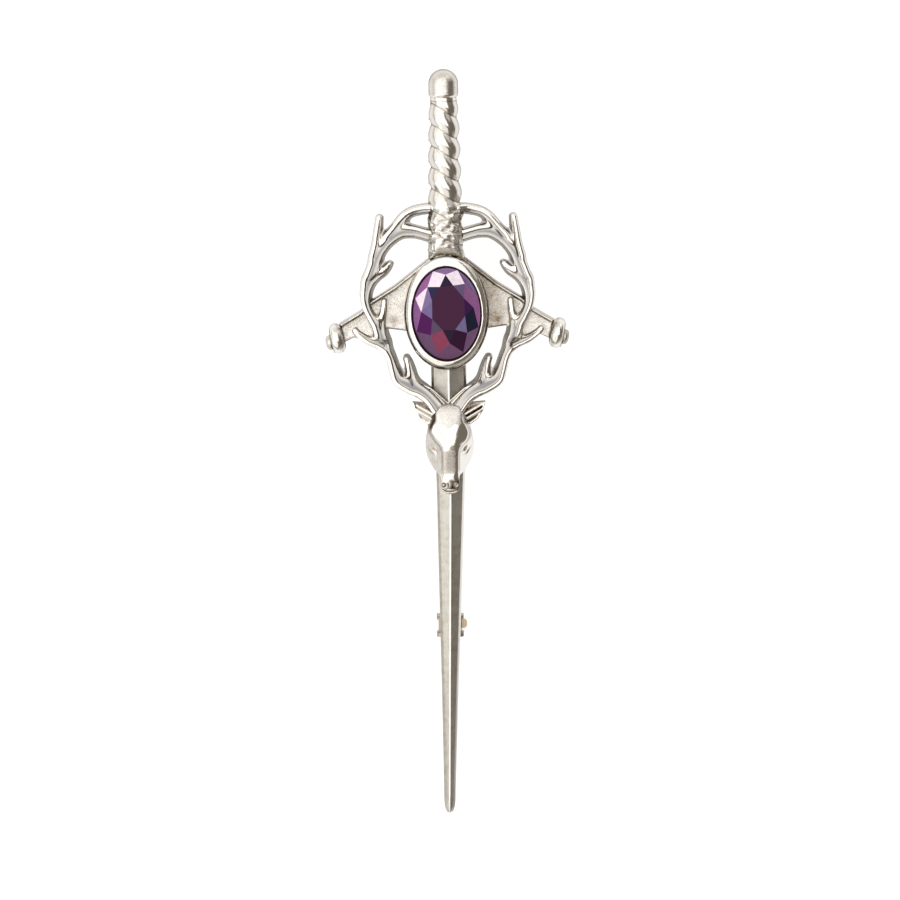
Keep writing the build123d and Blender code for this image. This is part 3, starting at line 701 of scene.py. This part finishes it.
def make_grip():
    """The twisted grip with its collar and the domed pommel."""
    table = spline(GRIP_TABLE, 5)

    def field(x, y, z):
        x = x + GRIP_LEAN * ramp(y, 26.0, POMMEL_Y)
        rise = z - BACK
        level = rise - GRIP_AXIS
        away = np.sqrt(x ** 2 + level ** 2)
        radius = np.interp(y, table[:, 0], table[:, 1])
        depth = np.interp(y, table[:, 0], table[:, 2])
        lobe = (np.sin(math.pi * grip_phase(x, y, z)) ** 2 + 0.003) ** 0.50
        twisted = away - radius + depth * (1 - lobe) + grip_lumps(x, y, z) * ramp(y, 34.0, 31.0)
        slope = 0.15 + 0.55 * np.maximum(rise - 2.6, 0)
        twisted = smooth_max(twisted, 0.85 * (slope - outside_bezel(x, y)), 0.3)
        past = np.maximum(y - POMMEL_Y + POMMEL_RADIUS, 0)
        dome = np.sqrt(x ** 2 + level ** 2 + past ** 2) - POMMEL_RADIUS
        dome = smooth_max(dome, POMMEL_FOOT_Y - y, 0.5)
        collar = np.sqrt((away - 1.66) ** 2 + (y - COLLAR_Y) ** 2) - 0.15
        body = smooth_min(smooth_min(smooth_max(twisted, y - 47.6, 0.1), dome, 0.08), collar, 0.06)
        return np.maximum(body, GRIP_FOOT - rise)

    points, quads = surface_net(field, (-3.0, 24.0, BACK - 0.3), (3.0, POMMEL_Y + 0.3, BACK + 4.8), FINE)
    mesh = make_mesh("grip", points, quads)
    x, y, z = points.T
    # Patina and painted shade: darker in the twist's grooves, in the hollows of the blasted lumps, on the
    # steep sides and in the creases either side of the collar; the pommel and the polished twist are a little
    # darker all over
    groove = 1 - np.abs(np.sin(math.pi * grip_phase(x, y, z)))
    twisted = ramp(y, 46.9, 46.5)
    blasted = ramp(y + 0.5 * np.sin(2.3 * x), 35.0, 30.5)
    steep = ramp(normals_of(mesh)[:, 2], 0.50, 0.20)
    hollows = blasted * ramp(grip_lumps(x, y, z), -0.01, 0.10)
    patina = twisted * (0.50 * ramp(groove, 0.82, 1.0) + 0.02 * blasted + 0.20 * hollows)
    dome = ramp(y, COLLAR_Y + 0.2, COLLAR_Y + 0.8)
    patina = patina + 0.46 * steep + 0.16 * dome + 0.13 * twisted * (1 - blasted)
    patina = patina + 0.3 * bell(y, COLLAR_Y + 0.22, 0.08) + 0.4 * bell(y, COLLAR_Y - 0.22, 0.08)
    matte = 0.07 + 0.28 * blasted + 0.20 * dome + 0.15 * twisted * ramp(groove, 0.7, 1.0)
    paint(mesh, patina=patina, matte=matte)
    return add_piece("grip", mesh, SILVER_CAST)


# Blade: how far below the stone's middle, half width, ridge height and edge height
BLADE_TABLE = [
    (-4.0, 2.42, 2.20, 0.90), (12.0, 2.37, 2.20, 0.90), (22.1, 1.98, 2.02, 0.83), (35.3, 1.62, 1.80, 0.74),
    (51.7, 1.15, 1.45, 0.59), (63.5, 0.86, 1.19, 0.48), (66.5, 0.80, 1.12, 0.47), (67.6, 0.72, 0.98, 0.42),
    (68.2, 0.58, 0.86, 0.36), (68.55, 0.38, 0.74, 0.32), (68.7, 0.14, 0.62, 0.30),
]
BLADE_STRIP = 0.34
BLADE_LEAN = 0.0143
BLADE_CENTRE_Y = -27.0
RIDGE_HALF = 0.10
CREASE = 0.05


def blade_offset(y):
    """The cast blade leans a little to the left towards its tip."""
    return np.where(y < 0.0, BLADE_LEAN * (np.minimum(y, -6.0) - BLADE_CENTRE_Y), 0.20)


def make_blade():
    """The tapering blade: two satin flats, a bright ridge and a strip along each edge."""
    loops = []
    crowns = []
    for down, half, ridge, edge in spline(BLADE_TABLE, 8):
        y = STONE_Y - down
        strip = min(BLADE_STRIP, half / 3)
        shoulder = edge + (ridge - edge) / 3
        slope = (ridge - shoulder) / (half - strip)
        soft = min(RIDGE_HALF, half / 4)
        side = [
            (half, 0.0), (half, edge - 0.12), (half - 0.02, edge - 0.03), (half - 0.08, edge + 0.10),
            (half - strip + CREASE, shoulder - 0.06), (half - strip, shoulder + 0.01),
            (half - strip - CREASE, shoulder + slope * CREASE), (3 * soft, ridge - slope * 3 * soft),
            (2 * soft, ridge - slope * 2 * soft), (soft, ridge - slope * soft - 0.004),
            (soft / 2, ridge - slope * soft * 0.8),
        ]
        profile = side + [(0, ridge - slope * soft * 0.72)] + [(-x, z) for x, z in reversed(side)]
        offset = float(blade_offset(np.array(y)))
        loops.append([(x + offset, y, BACK + z) for x, z in profile])
        crowns.append(profile)
    points, faces = loft(loops)
    mesh = make_mesh("blade", points, faces)
    across = np.array(crowns)[:, :, 0].ravel()
    half = np.repeat(np.array(crowns)[:, 0, 0], len(crowns[0]))
    # Painted shade along the creases of the edge strips, on the left strip and in a line just right of the
    # ridge; a painted highlight, with some wear, on the ridge and the right strip
    edge_line = bell(np.abs(across), half - BLADE_STRIP, 0.06)
    left_strip = ramp(-across - half + BLADE_STRIP, -0.05, 0.05)
    right_strip = ramp(across - half + BLADE_STRIP, -0.02, 0.06)
    ridge_line = bell(across, 0.20, 0.07)
    paint(
        mesh, patina=0.22 * edge_line + 0.12 * left_strip + 0.45 * ridge_line,
        worn=bell(across, 0, 0.11) + 0.9 * right_strip)
    return add_piece("blade", mesh, SILVER_SATIN)


# Bezel: inset from the outer oval and height above the back, from outside in
BEZEL_PROFILE = [
    (0.00, BEZEL_FOOT), (0.00, 1.80), (0.00, 2.70), (0.03, 2.90), (0.10, 3.06), (0.22, 3.24), (0.36, 3.42),
    (0.54, 3.58), (0.70, 3.69), (0.82, 3.75), (0.91, 3.78), (0.97, 3.77), (1.01, 3.72), (1.04, 3.66),
    (1.12, 3.60), (1.24, 3.50), (1.24, 2.90),
]
# Inset and height of the crest, and how much flatter the bevel is at the upper end
BEZEL_CREST = (0.91, 3.78)
BEZEL_FLAT = 0.62


def make_bezel():
    """The oval setting: a wall, a rounded bevel, a lip and the gap round the stone, painted dark as shadow.
    """
    turns = 160
    angles = np.arange(turns) * 2 * math.pi / turns
    loops = []
    upper = np.clip(np.sin(angles), 0, 1) ** 1.5
    for inset, rise in BEZEL_PROFILE:
        if 0 < inset <= BEZEL_CREST[0]:
            rise = rise + (BEZEL_CREST[1] - rise) * BEZEL_FLAT * upper
        half_x = BEZEL_OPENING[0] + BEZEL_SIDE - inset
        half_y = BEZEL_OPENING[1] + BEZEL_END - inset * BEZEL_END / BEZEL_SIDE
        loops.append(np.stack([
            half_x * np.cos(angles), STONE_Y + half_y * np.sin(angles), np.full(turns, BACK) + rise], axis=1))
    points, faces = loft(loops)
    ring = np.repeat([inset for inset, _ in BEZEL_PROFILE], turns)
    turn = np.tile(angles, len(BEZEL_PROFILE))
    wobble = 0.012 * (np.sin(9 * turn) + np.sin(23 * turn + 1) + np.sin(41 * turn + 2))
    points[:, 2] += wobble * ramp(ring, 0.80, 0.92) * ramp(ring, 1.2, 1.04)
    mesh = make_mesh("bezel", points, faces)
    rise = np.repeat([rise for _, rise in BEZEL_PROFILE], turns)
    # Painted shadow: the lip's inner drop and the gap round the stone go dark to black; the steep wall is a
    # little darker
    inner = ramp(ring, 1.00, 1.05)
    steep = ramp(rise, 3.1, 2.8)
    paint(mesh, patina=inner + 0.12 * steep * (1 - inner), matte=0.08 + 0.5 * inner + 0.30 * steep)
    return add_piece("bezel", mesh, SILVER_CAST)


# Crown of the stone, counter-clockwise from the right: for each eighth the star tip before
# it, its table corner and its rim corner, as shares of the half widths from the middle
CROWN = [
    ((0.74, 0.12), (0.48, 0.32), (0.87, 0.35)), ((0.50, 0.61), (0.19, 0.585), (0.31, 0.89)),
    ((-0.02, 0.80), (-0.175, 0.56), (-0.36, 0.87)), ((-0.51, 0.555), (-0.395, 0.275), (-0.85, 0.32)),
    ((-0.69, 0.05), (-0.39, -0.10), (-0.82, -0.36)), ((-0.44, -0.43), (-0.11, -0.325), (-0.26, -0.83)),
    ((0.075, -0.60), (0.23, -0.317), (0.44, -0.79)), ((0.555, -0.39), (0.50, -0.04), (0.865, -0.28)),
]
STONE_CROWN = 1.2
# Light that the polish throws back, and how much the foil strengthens a facet's tint
STONE_GLARE = 0.012
STONE_GAIN = 1.3
STONE_GIRDLE = 0.3
RIM_CORNER_RISE = 0.20
CULET_SHARE = 0.12
# Facet colours as seen, in the same order, the light each facet reflects or lets through painted in
TABLE_COLOUR = (70, 40, 62)
STAR_COLOURS = [
    (66, 42, 80), (105, 90, 122), (44, 38, 56), (50, 46, 76),
    (112, 100, 142), (92, 76, 98), (46, 38, 52), (118, 108, 148),
]
KITE_COLOURS = [
    (142, 96, 138), (246, 230, 242), (246, 230, 242), (128, 112, 154),
    (82, 36, 86), (138, 68, 90), (58, 40, 56), (42, 46, 58),
]
RIM_COLOURS = [
    (152, 100, 150), (130, 108, 148), (146, 120, 160), (156, 104, 156),
    (138, 92, 142), (105, 80, 108), (108, 78, 106), (116, 88, 118),
]
GLINT_COLOUR = (246, 226, 240)
PAVILION_COLOUR = (62, 26, 66)


def make_stone():
    """The oval brilliant, facet by facet, each with its own tint, which paints in the light it reflects or
    lets through.
    """
    crown_z = stone_high[2] - STONE_CROWN
    rim_z = crown_z + RIM_CORNER_RISE
    star_z = (stone_high[2] + rim_z) / 2
    middle = np.array([0, STONE_Y, crown_z])

    def point(place, z):
        return (place[0] * STONE_HALF_X, STONE_Y + place[1] * STONE_HALF_Y, z)

    def round_point(step, z, share=1.0):
        angle = step * math.pi / 8
        return point((share * math.cos(angle), share * math.sin(angle)), z)

    tables = [point(corner, stone_high[2]) for _, corner, _ in CROWN]
    stars = [point(tip, star_z) for tip, _, _ in CROWN]
    rims = [point(corner, rim_z) for _, _, corner in CROWN]
    culet = [round_point(2 * k, stone_low[2], CULET_SHARE) for k in range(8)]
    facets = [(tables, TABLE_COLOUR), (culet, PAVILION_COLOUR)]
    for k in range(8):
        after = (k + 1) % 8
        before = (k - 1) % 8
        facets.append(([stars[k], tables[k], tables[before]], STAR_COLOURS[k]))
        if k == 3:
            facets.append(([stars[k], rims[k], stars[after]], GLINT_COLOUR))
            facets.append(([stars[k], stars[after], tables[k]], KITE_COLOURS[k]))
        else:
            facets.append(([stars[k], rims[k], stars[after], tables[k]], KITE_COLOURS[k]))
        girdle = [round_point(2 * k + step, crown_z) for step in (-1, 0, 1)]
        facets.append(([stars[k], rims[before], *girdle, rims[k]], RIM_COLOURS[k]))
        under = [round_point(2 * k + step, crown_z - STONE_GIRDLE) for step in (-1, 0, 1)]
        deep = [round_point(2 * k + step, stone_low[2], CULET_SHARE) for step in (0, 2)]
        for corners in (
                [girdle[0], girdle[1], under[1], under[0]], [girdle[1], girdle[2], under[2], under[1]],
                [under[0], under[1], deep[0]], [under[1], under[2], deep[0]], [under[2], deep[1], deep[0]]):
            facets.append((corners, PAVILION_COLOUR))
    points = []
    faces = []
    colours = []
    for corners, colour in facets:
        corners = np.array(corners)
        normal = sum(np.cross(a, b) for a, b in zip(corners, np.roll(corners, -1, axis=0)))
        if normal @ (corners.mean(axis=0) - middle) < 0:
            corners = corners[::-1]
        faces.append(tuple(range(len(points), len(points) + len(corners))))
        points.extend(corners)
        tint = [max(share - STONE_GLARE, 0.002) / STONE_GAIN for share in tone(*colour)]
        colours.extend([(*tint, 1)] * len(corners))
    mesh = make_mesh("stone", points, faces, smooth=False)
    layer = mesh.color_attributes.new("facet", "FLOAT_COLOR", "CORNER")
    layer.data.foreach_set("color", np.array(colours, np.float32).ravel())
    return add_piece("stone_cut", mesh, stone_glass(), node="stone")


# Stag's head: x, y, width and height of its outline
HEAD_OUTLINE = [
    (0.15, 3.90, 3.2, 3.3), (0.15, 2.60, 5.5, 3.4), (0.18, 1.30, 6.0, 3.5), (0.20, -0.60, 6.6, 3.5),
    (0.20, -2.10, 5.5, 3.3), (0.20, -3.60, 3.5, 3.1), (0.24, -4.80, 2.9, 3.0), (0.26, -5.75, 2.96, 2.9),
]
BROW_PLATE = [
    (-1.60, 4.70), (-1.38, 5.20), (-0.80, 5.44), (0.20, 5.54), (1.20, 5.44), (1.78, 5.20), (1.96, 4.70),
    (1.95, 2.60), (-1.60, 2.60),
]
# Raised middle of the face down the head: place along Y, its centre, half width, height,
# fall towards its sides and how square its section is
FACE = [
    (5.6, 0.20, 1.78, 3.85, 0.15, 6.0), (4.9, 0.20, 1.78, 4.36, 0.18, 5.0),
    (4.1, 0.20, 1.79, 4.68, 0.20, 4.6), (3.2, 0.20, 1.80, 4.84, 0.24, 4.0),
    (2.4, 0.18, 2.20, 4.96, 0.50, 2.6), (1.6, 0.25, 2.42, 4.99, 0.78, 2.0),
    (0.9, 0.38, 2.22, 4.98, 0.86, 2.0), (0.3, 0.42, 1.92, 4.95, 0.84, 2.0),
    (-0.3, 0.40, 1.40, 4.90, 0.62, 2.2), (-0.9, 0.34, 1.12, 4.82, 0.36, 2.8),
    (-1.5, 0.32, 1.05, 4.70, 0.26, 3.6), (-2.5, 0.32, 1.02, 4.50, 0.22, 4.0),
    (-3.6, 0.30, 1.02, 4.30, 0.22, 4.0), (-4.1, 0.27, 1.04, 4.30, 0.32, 3.0),
    (-4.6, 0.25, 1.16, 4.42, 0.46, 2.2), (-5.2, 0.26, 1.46, 4.38, 0.44, 2.6),
    (-5.8, 0.28, 1.60, 4.20, 0.40, 3.0), (-6.3, 0.28, 1.50, 3.92, 0.40, 2.6),
    (-6.8, 0.25, 1.14, 3.45, 0.40, 2.2), (-7.3, 0.20, 0.50, 2.85, 0.30, 2.0),
]
FACE_FLANK = 1.6
# Middles of the eyes and nostrils, and the mouth's middle and how much it curves
EYES = [(-2.15, -0.96), (2.48, -0.90)]
NOSTRILS = [(-0.66, -5.66), (0.98, -5.66)]
MOUTH = (0.26, -6.66, 0.30)


def face_section(y):
    """The rows of the face at a place along Y, one array a column."""
    rows = spline(FACE, 6)[::-1]
    return [np.interp(y, rows[:, 0], rows[:, k]) for k in range(1, 6)]


def eye_shape(x, y, eye):
    """The ball of an eye and the creases of its lids, both from 0 to 1."""
    side = np.sign(eye[0])
    along = (y - eye[1]) * 0.77 + side * (x - eye[0]) * 0.64
    across = (y - eye[1]) * 0.64 - side * (x - eye[0]) * 0.77
    ball = bell(np.hypot(along / 0.62, across / 0.30), 0, 0.7)
    return ball, bell(along, 0, 0.55) * bell(np.abs(across - 0.12 * along ** 2), 0.30, 0.09)


def head_top(x, y):
    """Height of the head's front above the back."""
    gap, half, high = stroke_plan(x, y, HEAD_OUTLINE)
    out = np.clip(1 + gap / half, 0, 1)
    cheeks = high * (1 - out ** 3.2) ** 0.5
    centre, wide, tall, fall, square = face_section(y)
    aside = np.abs(x - centre)
    middle = tall - fall * np.minimum(aside / wide, 1) ** square - FACE_FLANK * np.maximum(aside - wide, 0)
    top = smooth_max(cheeks, middle, 0.18)
    for eye in EYES:
        ball, lids = eye_shape(x, y, eye)
        top = top + 0.20 * ball - 0.14 * lids
    for centre_x, centre_y in NOSTRILS:
        away = np.hypot(x - centre_x, y - centre_y)
        top = top + 0.12 * bell(away, 0.44, 0.12) - 0.30 * bell(away, 0.24, 0.10)
    groove_y = MOUTH[1] + MOUTH[2] * (x - MOUTH[0]) ** 2
    return top - 0.26 * bell(y, groove_y, 0.10) + 0.10 * bell(y, groove_y + 0.24, 0.1)


def make_head():
    """The stag's face: brow, nose, cheeks, eyes and nostrils in relief."""
    def field(x, y, z):
        gap = smooth_min(stroke_plan(x, y, HEAD_OUTLINE)[0], polygon_plan(x, y, BROW_PLATE), 0.15)
        rise = z - BACK
        wall = gap + 0.06 * rise
        return np.maximum(smooth_max(wall, 0.6 * (rise - head_top(x, y)), 0.10), HEAD_FOOT - rise)

    points, quads = surface_net(field, (-3.7, -7.6, BACK - 0.3), (4.0, 6.8, BACK + 5.4), FINE)
    mesh = make_mesh("stag_head", points, quads)
    x, y, _ = points.T
    normals = normals_of(mesh)
    centre, wide = face_section(y)[:2]
    aside = np.abs(x - centre) / wide
    raised = ramp(aside, 1.06, 0.94)
    left = ramp(x, 0.4, -0.2)
    flank = bell(aside, 1.14, 0.10) * ramp(y, -4.2, -3.4)
    plate = raised * ramp(y - 2.0 - 0.62 * np.minimum(np.abs(x - 0.13) / 0.7, 1), -0.08, 0.12)
    bridge = raised * ramp(y, -0.72, -1.15) * ramp(y, -4.3, -4.0)
    above_mouth = ramp(MOUTH[1] + 0.3 - y, 0.15, -0.25)
    pad = ramp(y, -4.6, -5.2) * ramp(x, -0.1, 0.5) * above_mouth
    cheek = (1 - raised) * ramp(y, -4.6, -4.0)
    temple = left * bell(x, -2.1, 0.6) * ramp(y, 1.6, 2.2) * (1 - raised)
    right_nostril = np.hypot(x - NOSTRILS[1][0], y - NOSTRILS[1][1])
    pad = pad * ramp(right_nostril, 0.28, 0.46) + 0.4 * bell(right_nostril, 0, 0.12)
    holes = sum(bell(np.hypot(x - a, y - b), 0.24, 0.10) * (0.65 if a < 0 else 0.25) for a, b in NOSTRILS)
    mouth = bell(y, MOUTH[1] + MOUTH[2] * (x - MOUTH[0]) ** 2, 0.10)
    lids = sum(eye_shape(x, y, eye)[1] * (0.30 if eye[0] < 0 else 0.85) for eye in EYES)
    wall = ramp(1 - np.abs(normals[:, 2]), 0.80, 0.97)
    # Painted shade: a grey on the brow plate, the nose bridge and the left cheek; darker on the face's steep
    # flanks and walls, the left temple, the bridge, the right of the nostril pad, in the nostrils, more the
    # left, in the mouth and in the lids, more the right
    paint(
        mesh, grey=0.28 * plate + 0.15 * bridge + 0.16 * cheek * left,
        patina=0.40 * flank + holes + 0.80 * mouth + 0.3 * wall + 0.30 * bridge + 0.92 * pad + 0.55 * temple
        + lids + 0.10 * cheek * left,
        matte=0.04 + 0.4 * np.maximum(plate, bridge) + cheek * (0.06 + 0.38 * left))
    return add_piece("stag_head", mesh, SILVER_CAST)


# Right ear: outline from its tip along the top edge to its root and back, and its fold
EAR = [(4.86, 5.66), (2.6, 5.46), (1.7, 4.4), (1.9, 3.0), (2.86, 2.62), (3.82, 3.30), (4.50, 4.40)]
EAR_FOLD = [(2.75, 3.95), (4.50, 4.95)]
EAR_HIGH = 3.45
EAR_THICK = 1.35


def make_ear(name, side):
    """An ear with a raised rim, a hollow front and a sharp fold along it."""
    shift = 0.22 if side > 0 else -0.12
    crack_depth = 0.5 if side > 0 else 0.18

    def shape(x, y):
        u = side * x - shift
        gap = polygon_plan(u, y, EAR) - 0.08
        (x0, y0), (x1, y1) = EAR_FOLD
        fold = ((y - y0) * (x1 - x0) - (u - x0) * (y1 - y0)) / math.hypot(x1 - x0, y1 - y0)
        return gap, ramp(-gap, 0.14, 0.34), fold

    def field(x, y, z):
        gap, hollow, fold = shape(x, y)
        rise = z - BACK
        top = EAR_HIGH - hollow * (0.12 + crack_depth * bell(fold, 0, 0.10) - 0.22 * bell(fold, -0.32, 0.2))
        top = top - 0.35 * ramp(fold, 0.35, 0.9) - 0.15 * ramp(-fold, 0.6, 1.3)
        under = EAR_HIGH - EAR_THICK - rise
        return np.maximum(smooth_max(gap, rise - top, 0.10), under + 0.3 * ramp(-gap, 0.3, 0))

    reach = 5.5 if side > 0 else 5.3
    box = side_box(side, 0.9, reach, (1.6, BACK + 1.6), (6.2, BACK + 4.1))
    points, quads = surface_net(field, *box, FINE)
    mesh = make_mesh(name, points, quads)
    _, hollow, fold = shape(points[:, 0], points[:, 1])
    # Painted shadow: darker under the top edge, in the fold and on the lower part of the hollow, much more on
    # the right ear
    upper = ramp(fold, 0.30, 0.45)
    crack = bell(fold, 0, 0.09) * hollow * (1.0 if side > 0 else 0.45)
    lower = ramp(-fold, 0.52, 0.66) * hollow * (0.85 if side > 0 else 0.35)
    paint(mesh, patina=0.50 * upper + crack + lower, matte=0.16 + 0.3 * upper)
    return add_piece(name, mesh, SILVER_CAST)


def make_findings():
    """The hinge bracket and the catch frame, taken from the casting below its flat back."""
    shape = bmesh.new()
    shape.from_mesh(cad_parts["casting"].data)
    bmesh.ops.remove_doubles(shape, verts=shape.verts[:], dist=0.002 * MM)
    plane = BACK * MM
    near = 0.01 * MM
    doomed = [
        face for face in shape.faces
        if any(v.co.z > plane + near for v in face.verts) or all(v.co.z > plane - near for v in face.verts)]
    bmesh.ops.delete(shape, geom=doomed, context="FACES")
    rim = [edge for edge in shape.edges if edge.is_boundary]
    raised = bmesh.ops.extrude_edge_only(shape, edges=rim)["geom"]
    moved = [item for item in raised if isinstance(item, bmesh.types.BMVert)]
    bmesh.ops.translate(shape, verts=moved, vec=(0, 0, 0.3 * MM))
    bmesh.ops.holes_fill(shape, edges=[edge for edge in shape.edges if edge.is_boundary])
    bmesh.ops.dissolve_limit(shape, angle_limit=math.radians(1), verts=shape.verts[:], edges=shape.edges[:])
    bmesh.ops.recalc_face_normals(shape, faces=shape.faces[:])
    mesh = bpy.data.meshes.new("findings")
    shape.to_mesh(mesh)
    shape.free()
    piece = add_piece("findings", mesh, SILVER_CAST)
    mesh.shade_smooth()
    paint(mesh, patina=0.50, matte=0.45)
    bevel = piece.modifiers.new("worn edges", "BEVEL")
    bevel.width = 0.07 * MM
    bevel.segments = 2
    bevel.limit_method = "ANGLE"
    bevel.angle_limit = math.radians(35)
    bevel.harden_normals = True
    return piece


def finish_nodes():
    """Materials of the CAD nodes that stay."""
    steel = drawn_metal("steel", STEEL, 0.24, 0.10)
    plated = drawn_metal("catch_metal", BRASSY, 0.26, 0.14)
    for node, material in (("pin_stem", steel), ("hinge_rivet", steel), ("catch_sleeve", plated)):
        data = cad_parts[node].data
        data.materials.clear()
        data.materials.append(material)


make_blade()
for side, word in ((-1, "left"), (1, "right")):
    make_guard_arm("guard_" + word, side)
    make_button("button_" + word, side)
    make_antler("antler_" + word, side)
    make_ear("ear_" + word, side)
make_grip()
make_bezel()
make_stone()
make_head()
make_findings()
finish_nodes()

# Studio: floor, soft lights and camera
VIEW_CENTRE = Vector((0.24, -1.06, 9.0)) * MM
VIEW_WIDTH = 122.75 * MM
VIEW_TILT = math.radians(5.0)
VIEW_ROLL = 0.01186
CAMERA_DISTANCE = 2.0


def make_floor():
    """A plain white floor that glows a little, so that shadows stay faint."""
    floor_half = 4.0
    corners = [(x * floor_half, y * floor_half, 0) for x, y in ((-1, -1), (1, -1), (1, 1), (-1, 1))]
    mesh = bpy.data.meshes.new("floor")
    mesh.from_pydata(corners, [], [(0, 1, 2, 3)])
    floor = add_object("floor", mesh)
    n = Nodes("floor_white")
    n.shader.inputs["Base Color"].default_value = (0.25, 0.25, 0.25, 1)
    n.shader.inputs["Roughness"].default_value = 0.9
    n.shader.inputs["Specular IOR Level"].default_value = 0.0
    n.shader.inputs["Emission Color"].default_value = (1, 1, 1, 1)
    n.shader.inputs["Emission Strength"].default_value = 0.88
    mesh.materials.append(n.material)


def soft_light(name, centre, axes, size, radiance, colour=(1, 1, 1)):
    """A rectangular soft light of that radiance. The axes are its width, length and back."""
    light = bpy.data.lights.new(name, "AREA")
    light.shape = "RECTANGLE"
    light.size, light.size_y = size
    light.energy = radiance * size[0] * size[1] * math.pi
    light.color = colour
    lamp = add_object(name, light)
    lamp.matrix_world = Matrix.Translation(centre) @ Matrix(axes).transposed().to_4x4()
    lamp.visible_camera = False


def panel(name, azimuth, start, end, breadth, radiance, colour=(1, 1, 1), reach=1.3):
    """A soft light towards an azimuth, between two angles off the zenith."""
    turn = math.radians(azimuth)

    def place(angle):
        lean = math.radians(angle)
        out = math.sin(lean)
        return Vector((math.cos(turn) * out, math.sin(turn) * out, math.cos(lean))) * reach

    first = place(start)
    last = place(end)
    back = (first + last).normalized()
    along = (last - first).normalized()
    size = (breadth, (last - first).length)
    soft_light(name, (first + last) / 2, (along.cross(back), along, back), size, radiance, colour)


def make_lights():
    """A wide ceiling light to the left, panels all round below it, and a dark gap on the right."""
    height = 0.8
    left, right, near, far = (height * math.tan(math.radians(a)) for a in (-50, 27, -16, 50))
    soft_light(
        "ceiling", Vector(((left + right) / 2, (near + far) / 2, height)),
        (Vector((1, 0, 0)), Vector((0, 1, 0)), Vector((0, 0, 1))), (right - left, far - near), 1.5)
    panel("left_high", 180, 51, 74, 2.4, 1.20)
    panel("left_low", 180, 75, 89, 3.0, 0.50)
    panel("far_high", 90, 51, 68, 2.0, 0.74)
    panel("far_low", 90, 68, 89, 3.0, 0.80)
    panel("far_right", 48, 52, 80, 0.9, 0.50)
    panel("near_left", -132, 18, 80, 1.5, 1.05)
    panel("near_low", -60, 70, 88, 1.4, 0.35, (1.0, 0.98, 0.95))


def make_world():
    """Dark and warm in reflections, white where the camera looks past the floor."""
    world = bpy.data.worlds.new("studio")
    bpy.context.scene.world = world
    world.use_nodes = True
    tree = world.node_tree
    dark = tree.nodes["Background"]
    dark.inputs["Color"].default_value = (1.0, 0.85, 0.70, 1)
    dark.inputs["Strength"].default_value = 0.20
    white = tree.nodes.new("ShaderNodeBackground")
    white.inputs["Color"].default_value = (1, 1, 1, 1)
    white.inputs["Strength"].default_value = 1.0
    ray = tree.nodes.new("ShaderNodeLightPath")
    mixer = tree.nodes.new("ShaderNodeMixShader")
    tree.links.new(ray.outputs["Is Camera Ray"], mixer.inputs["Fac"])
    tree.links.new(dark.outputs["Background"], mixer.inputs[1])
    tree.links.new(white.outputs["Background"], mixer.inputs[2])
    tree.links.new(mixer.outputs["Shader"], tree.nodes["World Output"].inputs["Surface"])


def make_camera():
    """A long lens above the pin, tilted a little towards the pommel."""
    camera = bpy.data.cameras.new("camera")
    camera.sensor_width = 36.0
    camera.lens = camera.sensor_width * CAMERA_DISTANCE / VIEW_WIDTH
    camera.clip_start = 0.05
    camera.clip_end = 20.0
    holder = add_object("camera", camera)
    back = Vector((0, math.sin(VIEW_TILT), math.cos(VIEW_TILT)))
    up = Vector((math.sin(VIEW_ROLL), math.cos(VIEW_ROLL), 0))
    up = (up - up.dot(back) * back).normalized()
    right = up.cross(back)
    turn = Matrix((right, up, back)).transposed().to_4x4()
    holder.matrix_world = Matrix.Translation(VIEW_CENTRE + back * CAMERA_DISTANCE) @ turn
    bpy.context.scene.camera = holder


make_floor()
make_lights()
make_world()
make_camera()
bpy.context.scene.view_settings.view_transform = "Standard"
bpy.context.scene.view_settings.look = "None"
